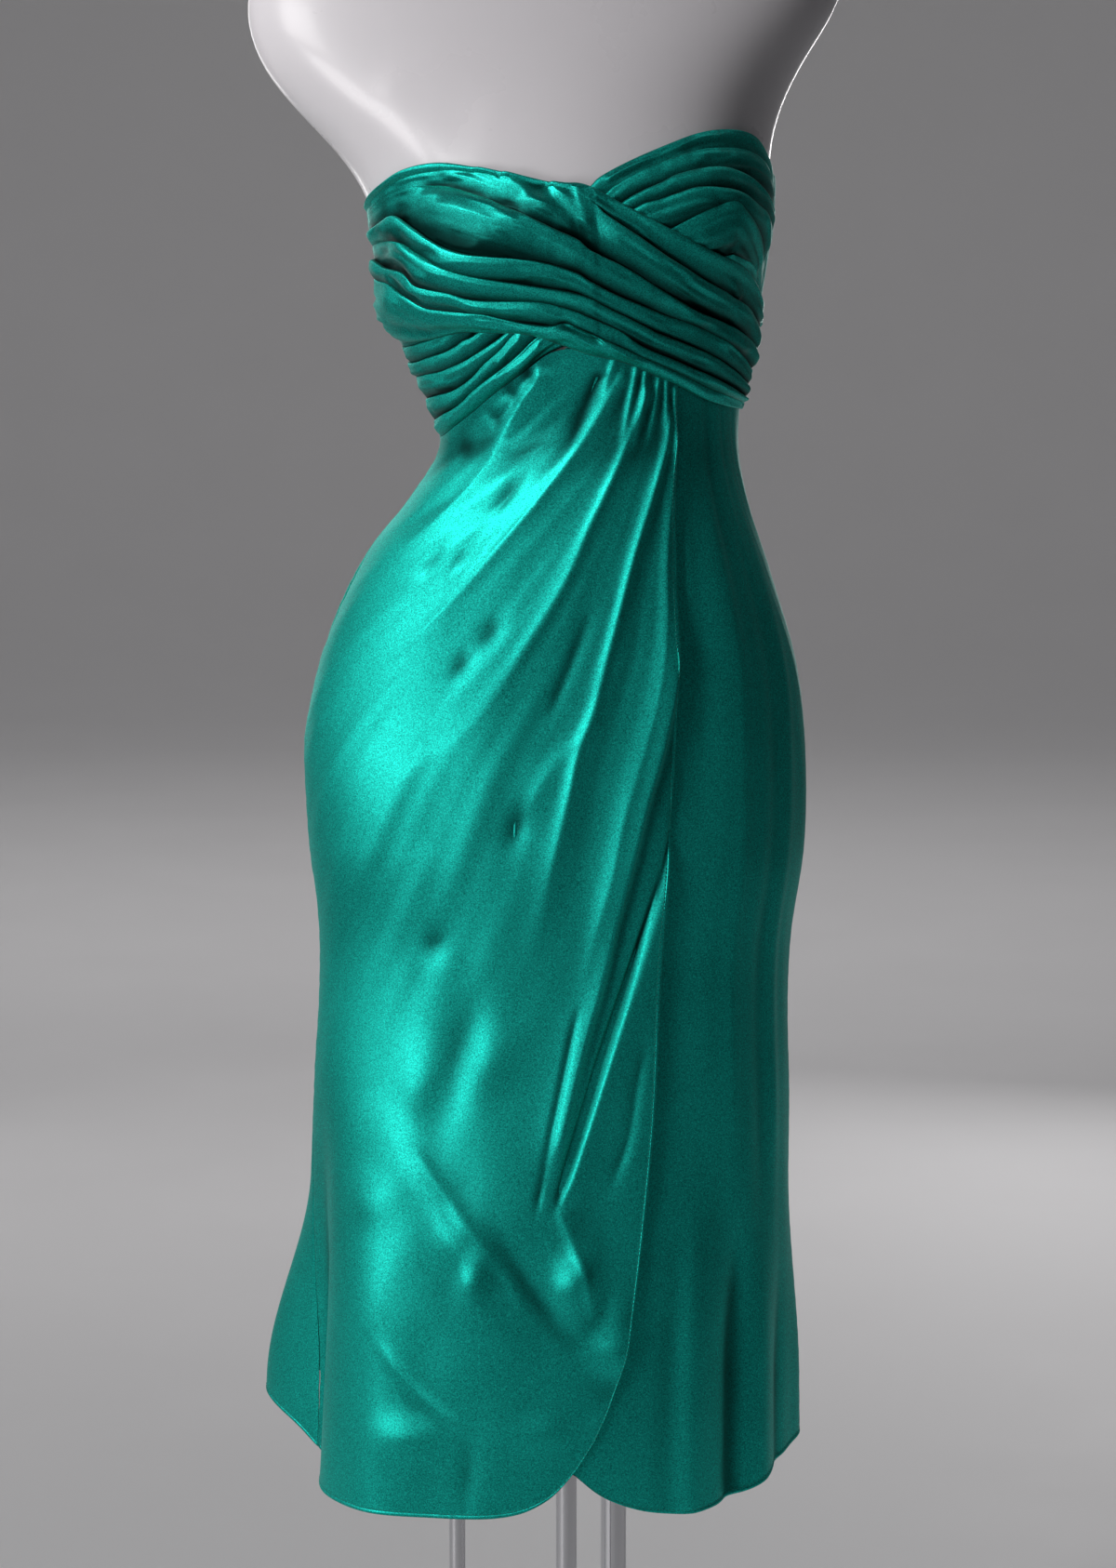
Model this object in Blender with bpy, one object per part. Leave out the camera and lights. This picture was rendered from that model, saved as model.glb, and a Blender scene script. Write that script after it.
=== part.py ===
"""Strapless midi dress with a crossed, pleated bodice and a tulip wrap skirt,
worn by a limbless dress form on three rods and a round base.

Lengths are in millimetres until make_solid turns them into metres. A place on
the dress is an angle round the figure and a height. The angle is in degrees,
0 at the centre front, positive towards the wearer's left (+X), 180 at the
centre back. The front faces -Y and the base stands on z = 0.
"""
from collections import namedtuple
from math import cos, pi, radians, sin

import bmesh
import bpy
import numpy as np
from mathutils import Matrix, Vector

MM = 0.001

# Driving dimensions
CLOTH = 1.3             # wall of every cloth panel
SEAM_GAP = 0.8          # clear height at the waist seam
SEAM_ANGLE = 0.3        # clear angle at an upright seam
SKIN_GAP = 0.7          # from the figure to the first layer
SKIRT_EASE = 2.0        # from the figure to the skirt's inner layer
LAYER = 2.3             # rise from one layer of cloth to the next
FORM_INSET = 1.6        # the form lies this far inside the figure
LEFT_SIDE = 74.0        # bodice side seam on the wearer's left
RIGHT_SIDE = -92.0      # side seams on the wearer's right
SKIRT_LEFT_SIDE = 88.0  # skirt side seam on the wearer's left
NECK_TOP = 1530.0       # top of the form
FORM_BOTTOM = 725.0     # underside of the form
BASE_RADIUS = 180.0
BASE_THICK = 8.0
FIT_GAP = 0.3           # between hard pieces that touch
ZIP_TOP = 1232.0
ZIP_BOTTOM = 960.0
ZIP_WIDTH = 4.6
ZIP_HALF_ANGLE = 1.9    # each back panel stops this far from the centre back

# Level sections of the figure. front and back are depths from the centre, and
# tilt is the rise of the section per millimetre towards +X.
Ring = namedtuple("Ring", "height centre_x centre_y half_width front back tilt")
RINGS = (
    Ring(330, -15, 0, 180, 126, 143, 0.00),
    Ring(472, -11, 0, 174, 117, 133, 0.00),
    Ring(604, -5, 0, 168, 109, 126, 0.00),
    Ring(736, -2, 0, 165, 106, 126, -0.02),
    Ring(802, -1, 0, 173, 108, 131, -0.03),
    Ring(868, -1, 0, 174, 108, 133, -0.04),
    Ring(934, 3, 0, 163, 104, 128, -0.05),
    Ring(1000, 9, 0, 137, 97, 110, -0.05),
    Ring(1040, 16, 0, 116, 90, 94, -0.03),
    Ring(1080, 22, 0, 103, 84, 80, 0.00),
    Ring(1120, 19, 0, 109, 87, 81, 0.04),
    Ring(1160, 15, -1, 123, 97, 88, 0.07),
    Ring(1200, 12, -3, 133, 108, 95, 0.10),
    Ring(1240, 10, -4, 139, 112, 100, 0.11),
    Ring(1270, 7, -3, 142, 105, 99, 0.11),
    Ring(1300, 1, -1, 157, 96, 97, 0.11),
    Ring(1330, -4, 2, 180, 86, 94, 0.11),
    Ring(1360, -4, 5, 203, 77, 90, 0.11),
    Ring(1390, -6, 8, 212, 70, 85, 0.10),
    Ring(1415, -8, 10, 207, 63, 79, 0.09),
    Ring(1435, -12, 12, 188, 57, 73, 0.08),
    Ring(1450, -16, 13, 150, 53, 67, 0.07),
    Ring(1463, -19, 13, 108, 51, 61, 0.05),
    Ring(1478, -22, 12, 76, 50, 56, 0.03),
    Ring(1498, -25, 10, 60, 50, 53, 0.01),
    Ring(1530, -28, 8, 56, 50, 52, 0.00),
)
RING_TABLE = np.array(RINGS, dtype=float)

# The bust cups that the bodice is cut to.
Cup = namedtuple("Cup", "angle height out spread rise")
CUPS = (Cup(-37, 1226, 15, 24, 36), Cup(37, 1228, 15, 24, 36))

# A pleat runs across a wrap from the right side to the left. line gives its
# crest as (angle, height) places, and rise is how far the crest stands out. The
# cloth drops steeply below the crest and slopes gently above it. The rise fades
# over these shares of the wrap's width at its right and left ends.
Pleat = namedtuple("Pleat", "rise fade_right fade_left line")
OVER_WRAP_PLEATS = (
    Pleat(3.5, 0.05, 0.30, ((-92, 1186), (-77, 1190), (-68, 1177), (-55, 1171), (-41, 1172), (-22, 1171),
                            (-9, 1163), (0, 1153), (13, 1146), (29, 1133), (43, 1121), (58, 1112),
                            (74, 1107))),
    Pleat(4.5, 0.05, 0.08, ((-92, 1206), (-71, 1217), (-58, 1215), (-47, 1205), (-33, 1192), (-21, 1185),
                            (-9, 1178), (0, 1167), (13, 1160), (28, 1147), (48, 1132), (66, 1117),
                            (74, 1112))),
    Pleat(3.0, 0.10, 0.15, ((-92, 1221), (-72, 1231), (-60, 1233), (-49, 1224), (-37, 1211), (-23, 1200),
                            (-12, 1192), (-2, 1184), (7, 1175), (17, 1167), (31, 1155), (48, 1140),
                            (67, 1124), (74, 1119))),
    Pleat(5.0, 0.06, 0.08, ((-92, 1233), (-74, 1243), (-60, 1249), (-52, 1245), (-42, 1233), (-34, 1223),
                            (-23, 1217), (-8, 1209), (-1, 1198), (6, 1188), (17, 1177), (31, 1165),
                            (48, 1149), (67, 1132), (74, 1127))),
    Pleat(4.5, 0.45, 0.08, ((-92, 1243), (-66, 1259), (-50, 1264), (-38, 1262), (-29, 1256), (-21, 1248),
                            (-11, 1234), (-2, 1222), (6, 1208), (17, 1192), (32, 1174), (52, 1154),
                            (74, 1139))),
    Pleat(3.5, 0.55, 0.10, ((-92, 1250), (-66, 1266), (-45, 1273), (-30, 1267), (-15, 1257), (-6, 1250),
                            (1, 1240), (11, 1222), (26, 1203), (44, 1183), (60, 1167), (74, 1153))),
)
UNDER_WRAP_PLEATS = (
    Pleat(2.6, 0.05, 0.60, ((-92, 1101), (-66, 1105), (-50, 1115), (-32, 1134), (-20, 1148), (0, 1166),
                            (20, 1180), (46, 1184), (74, 1176))),
    Pleat(3.2, 0.05, 0.50, ((-92, 1121), (-60, 1123), (-41, 1137), (-25, 1155), (-10, 1174), (10, 1198),
                            (30, 1210), (46, 1210), (60, 1202), (74, 1192))),
    Pleat(3.2, 0.05, 0.10, ((-92, 1139), (-62, 1142), (-44, 1150), (-32, 1160), (-18, 1178), (0, 1208),
                            (16, 1234), (30, 1241), (46, 1236), (60, 1224), (74, 1208))),
    Pleat(2.6, 0.40, 0.10, ((-92, 1158), (-62, 1164), (-40, 1180), (-20, 1204), (0, 1234), (8, 1246),
                            (20, 1254), (34, 1256), (46, 1252), (58, 1242), (74, 1226))),
    Pleat(2.4, 0.50, 0.10, ((-92, 1170), (-62, 1178), (-34, 1199), (-14, 1223), (0, 1243), (8, 1256),
                            (19, 1265), (34, 1269), (48, 1267), (60, 1258), (74, 1242))),
)

# A fold is a soft ridge (or a trough, where out is negative) along a path of
# (angle, height) places. Its width is given on each side: left of the way the
# path runs, seen from outside, and right. It fades over these shares of its
# length at the start and at the end.
Fold = namedtuple("Fold", "out left right fade_in fade_out path")
OVER_SKIRT_FOLDS = (
    Fold(3.5, 12, 6, 0.05, 0.30, ((8, 1134), (0, 1108), (-12, 1066), (-26, 1010), (-40, 960), (-54, 930))),
    Fold(5.0, 16, 9, 0.05, 0.35, ((17, 1124), (9, 1080), (1, 1040), (-6, 985), (-14, 930), (-27, 876),
                                  (-44, 822))),
    Fold(4.0, 12, 6, 0.05, 0.45, ((24, 1112), (20, 1058), (13, 1006), (7, 948), (2, 880), (-6, 790))),
    Fold(6.0, 18, 8, 0.25, 0.20, ((22, 980), (16, 905), (9, 810), (2, 720), (-4, 640), (-10, 560),
                                  (-12, 470))),
)
UNDER_SKIRT_FOLDS = (Fold(3.0, 20, 16, 0.30, 0.30, ((38, 1060), (36, 900), (36, 700), (40, 500))),)
# Flares and troughs of the hem, which run up from it all round the skirt.
HEM_FOLDS = (
    Fold(8.0, 34, 30, 0.60, 0.00, ((-46, 640), (-44, 500), (-42, 345))),
    Fold(-38.0, 30, 34, 0.70, 0.00, ((-80, 680), (-84, 560), (-86, 450), (-87, 345))),
    Fold(-6.0, 15, 15, 0.60, 0.00, ((44, 600), (43, 470), (42, 345))),
    Fold(5.0, 18, 18, 0.60, 0.00, ((58, 560), (57, 450), (56, 345))),
    Fold(5.0, 18, 18, 0.60, 0.00, ((85, 600), (85, 470), (85, 345))),
    Fold(-6.0, 24, 24, 0.60, 0.00, ((110, 640), (109, 480), (108, 345))),
    Fold(8.0, 26, 26, 0.60, 0.00, ((131, 700), (130, 500), (129, 345))),
    Fold(6.0, 24, 24, 0.60, 0.00, ((160, 560), (161, 450), (162, 345))),
    Fold(8.0, 26, 26, 0.60, 0.00, ((-146, 680), (-147, 500), (-148, 345))),
    Fold(-5.0, 22, 22, 0.60, 0.00, ((-125, 620), (-126, 480), (-127, 345))),
    Fold(30.0, 26, 26, 0.60, 0.00, ((-105, 600), (-109, 480), (-111, 345))),
)

# Edges of the panels, each from one corner to the next.
OVER_WRAP_TOP = ((-92, 1257), (-80, 1266), (-66, 1273), (-52, 1280), (-40, 1281), (-30, 1275), (-20, 1267),
                 (-8, 1257), (-1, 1253), (9, 1238), (25, 1216), (36, 1204), (50, 1193), (60, 1182),
                 (74, 1166))
OVER_WRAP_BOTTOM = ((-92, 1168), (-75, 1162), (-59, 1162), (-43, 1166), (-32, 1164), (-21, 1161),
                    (-11, 1152), (-2, 1144), (8, 1138), (19, 1128), (29, 1120), (43, 1110), (58, 1105),
                    (74, 1103))
UNDER_WRAP_TOP = ((74, 1252), (66, 1266), (58, 1276), (50, 1281), (40, 1283), (31, 1281), (20, 1274),
                  (11, 1267), (3, 1259), (-1, 1252), (-14, 1236), (-34, 1212), (-62, 1190), (-92, 1178))
WAIST_RIGHT = ((-92, 1086), (-76, 1090), (-55, 1104), (-39, 1120), (-26, 1134), (-14, 1148))
UNDER_WRAP_BOTTOM = ((74, 1158), (58, 1160), (42, 1165), (26, 1165), (12, 1160),
                     (0, 1154)) + WAIST_RIGHT[::-1]
OVER_SKIRT_TOP = tuple((angle, height - SEAM_GAP) for angle, height in WAIST_RIGHT) + (
    (-2, 1148), (8, 1142), (19, 1132), (29, 1124))
OVER_SKIRT_HEM = ((-92, 362), (-82, 353), (-68, 348), (-55, 345), (-30, 344), (-12, 346), (-3, 356),
                  (3, 374), (8, 398))
OVER_SKIRT_FREE_EDGE = ((8, 398), (12, 428), (16, 478), (19, 570), (21, 660), (22, 780), (24, 920),
                        (27, 1030), (29, 1124))
UNDER_SKIRT_TOP = ((-10, 1149), (-2, 1148), (8, 1142), (19, 1132), (29, 1124), (43, 1115), (58, 1110),
                   (68, 1107.9), (75, 1107.1), (88, 1105.9))
UNDER_SKIRT_HEM = ((3, 376), (10, 358), (19, 346), (28, 341), (37, 341), (50, 346), (66, 356), (88, 366))
UNDER_SKIRT_FREE_EDGE = ((3, 376), (-6, 404), (-12, 470), (-14, 600), (-14, 760), (-12, 920), (-10, 1149))
WAIST_BACK = 1092.0
NECKLINE_BACK = 1238.0
HEM_BACK = 396.0
HEM_BACK_LEFT = ((108, 378), (134, 390))        # the back hems between their ends
HEM_BACK_RIGHT = ((-101, 378), (-114, 392), (-138, 400))


# ---------------------------------------------------------------- the figure
def column(height, index):
    """One column of RINGS at these heights, as a smooth curve through the rows."""
    levels = RING_TABLE[:, 0]
    values = RING_TABLE[:, index]
    step = np.diff(levels)
    rate = np.diff(values) / step
    slope = np.empty_like(values)
    slope[1:-1] = (step[1:] * rate[:-1] + step[:-1] * rate[1:]) / (step[1:] + step[:-1])
    slope[0], slope[-1] = rate[0], rate[-1]
    row = np.clip(np.searchsorted(levels, height) - 1, 0, len(levels) - 2)
    t = np.clip((height - levels[row]) / step[row], 0.0, 1.0)
    return ((2 * t ** 3 - 3 * t ** 2 + 1) * values[row] + (t ** 3 - 2 * t ** 2 + t) * step[row] * slope[row]
            + (3 * t ** 2 - 2 * t ** 3) * values[row + 1] + (t ** 3 - t ** 2) * step[row] * slope[row + 1])


def figure(angle, height):
    """The figure's surface at these angles and heights, with no cloth on it."""
    turn = np.radians(angle)
    side, ahead = np.sin(turn), np.cos(turn)
    front, back = column(height, 4), column(height, 5)
    bust = sum(cup.out * np.exp(-((angle - cup.angle) / cup.spread) ** 2
                                - ((height - cup.height) / cup.rise) ** 2) for cup in CUPS)
    across = (column(height, 3) + bust) * side
    depth = (front + back) / 2 * ahead + (front - back) / 2 * ahead ** 2 + bust * ahead
    return np.stack([column(height, 1) + across, column(height, 2) - depth,
                     height + column(height, 6) * across], axis=-1)


def outward(angle, height):
    """Unit normals of the figure, pointing out."""
    round_step = figure(angle + 0.5, height) - figure(angle - 0.5, height)
    up_step = figure(angle, height + 1.0) - figure(angle, height - 1.0)
    normal = np.cross(round_step, up_step)
    return normal / np.linalg.norm(normal, axis=-1, keepdims=True)


# ------------------------------------------------------------ paths and folds
def fine_path(points):
    """Many places on a smooth curve through the points."""
    points = np.array(points, dtype=float)
    ends = np.vstack([2 * points[0] - points[1], points, 2 * points[-1] - points[-2]])
    fine = []
    for i in range(1, len(ends) - 2):
        before, start, end, after = ends[i - 1:i + 3]
        for t in np.linspace(0.0, 1.0, 12, endpoint=False):
            fine.append(0.5 * (2 * start + (end - before) * t
                               + (2 * before - 5 * start + 4 * end - after) * t ** 2
                               + (3 * start - before - 3 * end + after) * t ** 3))
    return np.array(fine + [points[-1]])


def smooth_path(points, share):
    """Places at these shares of the way along a smooth curve through the points."""
    fine = fine_path(points)
    steps = np.diff(fine, axis=0) * (2.4, 1.0)      # a degree is about 2.4 mm round the figure
    length = np.concatenate([[0.0], np.cumsum(np.linalg.norm(steps, axis=1))])
    share = np.asarray(share) * length[-1]
    return np.stack([np.interp(share, length, fine[:, 0]), np.interp(share, length, fine[:, 1])], axis=-1)


def ease(t):
    """0 below 0, 1 above 1 and smooth between."""
    t = np.clip(t, 0.0, 1.0)
    return t * t * (3 - 2 * t)


def fold_rise(base, normal, fold):
    """How far a fold lifts the cloth at these points of the figure."""
    places = smooth_path(fold.path, np.linspace(0.0, 1.0, 25))
    spine = figure(places[:, 0], places[:, 1])
    start, run = spine[:-1], np.diff(spine, axis=0)
    to_point = base[:, None, :] - start[None, :, :]
    along = np.clip((to_point * run).sum(axis=2) / (run * run).sum(axis=1), 0.0, 1.0)
    gap = to_point - along[:, :, None] * run
    distance = np.linalg.norm(gap, axis=2)
    nearest = distance.argmin(axis=1)
    rows = np.arange(len(base))
    left_way = np.cross(normal, run[nearest])
    on_left = (gap[rows, nearest] * left_way).sum(axis=1) > 0
    width = np.where(on_left, fold.left, fold.right)
    share = (nearest + along[rows, nearest]) / len(run)
    fade = np.ones(len(base))
    if fold.fade_in:
        fade *= ease(share / fold.fade_in)
    if fold.fade_out:
        fade *= ease((1 - share) / fold.fade_out)
    return fold.out * fade * np.exp(-(distance[rows, nearest] / width) ** 2)


def heights_along(points, angles):
    """Heights, at these angles, of the smooth curve through (angle, height) points."""
    fine = fine_path(points if points[0][0] < points[-1][0] else points[::-1])
    return np.interp(angles, fine[:, 0], fine[:, 1])


def pleated_rows(bottom, top, pleats, angles, with_middles=True):
    """Places and rises of a wrap's rows, one above another at the same angles.

    Each pleat has a row in its trough and one on its crest, and with_middles
    adds one on the slope between two pleats.
    """
    share = (angles - angles[0]) / (angles[-1] - angles[0])
    flat = np.zeros_like(angles)
    rows = [(heights_along(bottom, angles), flat)]
    for pleat in pleats:
        below = rows[-1][0]
        crest = heights_along(pleat.line, angles)
        rise = pleat.rise * ease(share / pleat.fade_right) * ease((1 - share) / pleat.fade_left)
        trough = crest - np.minimum(3.5, 0.35 * (crest - below))
        if with_middles:
            rows.append(((below + trough) / 2, rows[-1][1] * 0.4))
        rows.append((trough, flat))
        rows.append((crest, rise))
    edge = heights_along(top, angles)
    if with_middles:
        rows.append(((rows[-1][0] + edge) / 2, rows[-1][1] * 0.4))
    rows.append((edge, flat))
    places = np.array([np.stack([angles, height], axis=-1) for height, rise in rows])
    return places, np.array([rise for height, rise in rows])


def drape(angle, height, lift, folds):
    """Points on the outer face of the cloth, and the outward ways there."""
    base = figure(angle, height)
    normal = outward(angle, height)
    out = lift + CLOTH
    for fold in folds:
        out = out + fold_rise(base, normal, fold)
    return base + normal * out[:, None], normal


# ------------------------------------------------------------- mesh and looks
def finish(name, colour, roughness, metallic=0.0):
    """A plain material for one sub-part."""
    material = bpy.data.materials.new(name)
    material.use_nodes = True
    shader = material.node_tree.nodes["Principled BSDF"]
    shader.inputs["Base Color"].default_value = (*colour, 1.0)
    shader.inputs["Roughness"].default_value = roughness
    shader.inputs["Metallic"].default_value = metallic
    material.diffuse_color = (*colour, 1.0)
    return material


def make_solid(name, points, faces, material, smooth=True):
    """A mesh object from points in millimetres."""
    mesh = bpy.data.meshes.new(name)
    mesh.from_pydata([tuple(float(v) * MM for v in point) for point in points], [], faces)
    mesh.validate()
    mesh.materials.append(material)
    if smooth:
        mesh.shade_smooth()
        mesh.set_sharp_from_angle(angle=radians(50))
    thing = bpy.data.objects.new(name, mesh)
    bpy.context.scene.collection.objects.link(thing)
    return thing


def grid_faces(columns, rows, first, flip):
    """Quads of a grid whose points run row by row, columns + 1 to a row."""
    faces = []
    for j in range(rows):
        for i in range(columns):
            a = first + j * (columns + 1) + i
            quad = (a, a + 1, a + columns + 2, a + columns + 1)
            faces.append(quad[::-1] if flip else quad)
    return faces


def across_cloth(outer, columns, rows, normal):
    """Unit ways straight out of a grid of outer points."""
    grid = outer.reshape(rows + 1, columns + 1, 3)
    way = np.cross(np.gradient(grid, axis=1), np.gradient(grid, axis=0)).reshape(-1, 3)
    way *= np.sign((way * normal).sum(axis=1, keepdims=True))
    return way / np.linalg.norm(way, axis=1, keepdims=True)


def cloth_solid(name, columns, rows, places, lift, folds, material):
    """A closed wall of cloth over a grid of (angle, height) places.

    The grid runs round the figure by columns and upwards by rows. places and
    lift hold a row of places or lifts for each grid row.
    """
    angle, height = places[..., 0].ravel(), places[..., 1].ravel()
    outer, normal = drape(angle, height, lift.ravel(), folds)
    if folds:
        normal = across_cloth(outer, columns, rows, normal)
    points = np.vstack([outer, outer - normal * CLOTH])
    count = len(outer)
    turned = angle[columns] < angle[0]
    faces = grid_faces(columns, rows, 0, turned) + grid_faces(columns, rows, count, not turned)
    rim = list(range(columns))
    rim += [j * (columns + 1) + columns for j in range(rows)]
    rim += [rows * (columns + 1) + i for i in range(columns, 0, -1)]
    rim += [j * (columns + 1) for j in range(rows, 0, -1)]
    for a, b in zip(rim, rim[1:] + rim[:1]):
        wall = (b, a, a + count, b + count)
        faces.append(wall[::-1] if turned else wall)
    return make_solid(name, points, faces, material)


def patch(bottom, top, left, right, columns, rows, crowd=1.0):
    """Places of a grid spread between four edges that meet at their ends.

    Each edge is a list of (angle, height) points. A crowd over 1 draws the
    columns towards the right edge.
    """
    across = 1 - (1 - np.linspace(0.0, 1.0, columns + 1)) ** crowd
    upward = np.linspace(0.0, 1.0, rows + 1)
    low, high = smooth_path(bottom, across), smooth_path(top, across)
    near, far = smooth_path(left, upward), smooth_path(right, upward)
    u = across[None, :, None]
    v = upward[:, None, None]
    corners = ((1 - u) * (1 - v) * low[0] + u * (1 - v) * low[-1] + (1 - u) * v * high[0] + u * v * high[-1])
    return (1 - v) * low[None] + v * high[None] + (1 - u) * near[:, None] + u * far[:, None] - corners


def straight(start, end):
    """An edge between two places, with a point in the middle."""
    return (start, ((start[0] + end[0]) / 2, (start[1] + end[1]) / 2), end)


# ---------------------------------------------------------------- the bodice
def over_wrap_lift(places):
    """The over-wrap lies on the figure at the right cup and on the under-wrap beyond it."""
    hidden_top = np.array(UNDER_WRAP_TOP[::-1], dtype=float)
    top_of_under = np.interp(places[..., 0], hidden_top[:, 0], hidden_top[:, 1])
    covered = ease((top_of_under + 22 - places[..., 1]) / 18)
    return SKIN_GAP + 2 * LAYER * covered


def build_over_wrap(satin):
    columns = 34
    angles = np.linspace(RIGHT_SIDE, LEFT_SIDE, columns + 1)
    places, rise = pleated_rows(OVER_WRAP_BOTTOM, OVER_WRAP_TOP, OVER_WRAP_PLEATS, angles)
    cloth_solid("bodice_over_wrap", columns, len(rise) - 1, places, over_wrap_lift(places) + rise, (), satin)


def build_under_wrap(satin):
    """One piece: the left cup, which runs on under the over-wrap to the right midriff."""
    columns = 30
    angles = np.linspace(RIGHT_SIDE, LEFT_SIDE, columns + 1)
    places, rise = pleated_rows(UNDER_WRAP_BOTTOM, UNDER_WRAP_TOP, UNDER_WRAP_PLEATS, angles,
                                with_middles=False)
    cloth_solid("bodice_under_wrap", columns, len(rise) - 1, places, SKIN_GAP + rise, (), satin)


def back_waist(side, start, drop):
    """The waist seam from a start angle to the zip, lowered by drop."""
    angles = side * np.linspace(abs(start), 180 - ZIP_HALF_ANGLE, 7)
    at_side, fall_from = (16.0, LEFT_SIDE) if side > 0 else (-6.0, -RIGHT_SIDE)
    heights = WAIST_BACK + at_side * (1 - ease((np.abs(angles) - fall_from) / 80)) - drop
    return tuple(zip(angles, heights))


def build_bodice_back(name, side, satin):
    """A plain back panel from a side seam to the zip. side is 1 on the wearer's left."""
    columns, rows = 12, 7
    seam, seam_high = (LEFT_SIDE + SEAM_ANGLE, 1252) if side > 0 else (RIGHT_SIDE - SEAM_ANGLE, 1257)
    zip_edge = side * (180 - ZIP_HALF_ANGLE)
    bottom = back_waist(side, seam, 0.0)
    top = ((seam, seam_high), ((seam + zip_edge) / 2, NECKLINE_BACK + 9), (zip_edge, NECKLINE_BACK))
    places = patch(bottom, top, straight(bottom[0], top[0]), straight(bottom[-1], top[-1]), columns, rows)
    lift = np.full(places.shape[:2], SKIN_GAP)
    cloth_solid(name, columns, rows, places, lift, (), satin)


# ----------------------------------------------------------------- the skirt
def build_over_skirt(satin):
    """The front panel with the tulip corner, gathered at the left of the waist."""
    columns, rows = 27, 18
    places = patch(OVER_SKIRT_HEM, OVER_SKIRT_TOP, straight(OVER_SKIRT_HEM[0], OVER_SKIRT_TOP[0]),
                   OVER_SKIRT_FREE_EDGE, columns, rows, crowd=1.05)
    angle, height = places[..., 0], places[..., 1]
    over_under = ease((angle + 34) / 16)
    off_waist = ease((1085 - height) / 60)
    free_edge = ease((angle - 2) / 18) * ease((1000 - height) / 240)
    lift = SKIN_GAP + (SKIRT_EASE - SKIN_GAP) * off_waist + LAYER * over_under + 3.0 * free_edge
    cloth_solid("skirt_over_panel", columns, rows, places, lift, OVER_SKIRT_FOLDS + HEM_FOLDS, satin)


def build_under_skirt(satin):
    """The smooth front panel on the wearer's left, whose own edge is under the first."""
    columns, rows = 14, 16
    side = straight(UNDER_SKIRT_HEM[-1], UNDER_SKIRT_TOP[-1])
    places = patch(UNDER_SKIRT_HEM, UNDER_SKIRT_TOP, UNDER_SKIRT_FREE_EDGE, side, columns, rows)
    off_waist = ease((1085 - places[..., 1]) / 60)
    lift = SKIN_GAP + (SKIRT_EASE - SKIN_GAP) * off_waist
    cloth_solid("skirt_under_panel", columns, rows, places, lift, UNDER_SKIRT_FOLDS + HEM_FOLDS, satin)


def build_skirt_back(name, side, satin):
    """A back panel from a side seam to the centre back. side is 1 on the wearer's left."""
    columns, rows = (13, 14) if side > 0 else (16, 14)
    seam = (SKIRT_LEFT_SIDE if side > 0 else RIGHT_SIDE) + side * SEAM_ANGLE
    middle = side * (180 - ZIP_HALF_ANGLE)
    closed = side * (180 - SEAM_ANGLE / 2)
    low_side = UNDER_SKIRT_HEM[-1][1] if side > 0 else OVER_SKIRT_HEM[0][1]
    between = HEM_BACK_LEFT if side > 0 else HEM_BACK_RIGHT
    bottom = ((seam, low_side),) + between + ((closed, HEM_BACK),)
    top = back_waist(side, seam, SEAM_GAP)
    centre = ((closed, HEM_BACK), (closed, 640), (closed, ZIP_BOTTOM - 40), (middle, ZIP_BOTTOM),
              (middle, 1020), top[-1])
    places = patch(bottom, top, straight(bottom[0], top[0]), centre, columns, rows)
    off_waist = ease((1085 - places[..., 1]) / 60)
    lift = SKIN_GAP + (SKIRT_EASE - SKIN_GAP) * off_waist
    cloth_solid(name, columns, rows, places, lift, HEM_FOLDS, satin)


# -------------------------------------------------------------------- the zip
def zip_line(height, out):
    """Points of the centre-back line, this far out from the figure."""
    angle = np.full_like(height, 180.0)
    return figure(angle, height) + outward(angle, height) * out


def build_zip_chain(tape):
    """The closed zip between the two backs, as a narrow strip."""
    levels = np.linspace(ZIP_BOTTOM + 6, ZIP_TOP, 15)
    outer, inner = zip_line(levels, 1.9), zip_line(levels, 0.7)
    half = ZIP_WIDTH / 2
    points = []
    for a, b in zip(outer, inner):
        points += [a + (half, 0, 0), a - (half, 0, 0), b - (half, 0, 0), b + (half, 0, 0)]
    faces = [(3, 2, 1, 0)]
    for i in range(len(levels) - 1):
        for k in range(4):
            a, b = 4 * i + k, 4 * i + (k + 1) % 4
            faces.append((a, b, b + 4, a + 4))
    last = 4 * (len(levels) - 1)
    faces.append((last, last + 1, last + 2, last + 3))
    solid = make_solid("zip_chain", points, faces, tape, smooth=False)
    face_out(solid)


def face_out(thing):
    """Turn a closed mesh's faces so that they point outwards."""
    work = bmesh.new()
    work.from_mesh(thing.data)
    bmesh.ops.recalc_face_normals(work, faces=work.faces)
    work.to_mesh(thing.data)
    work.free()


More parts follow.
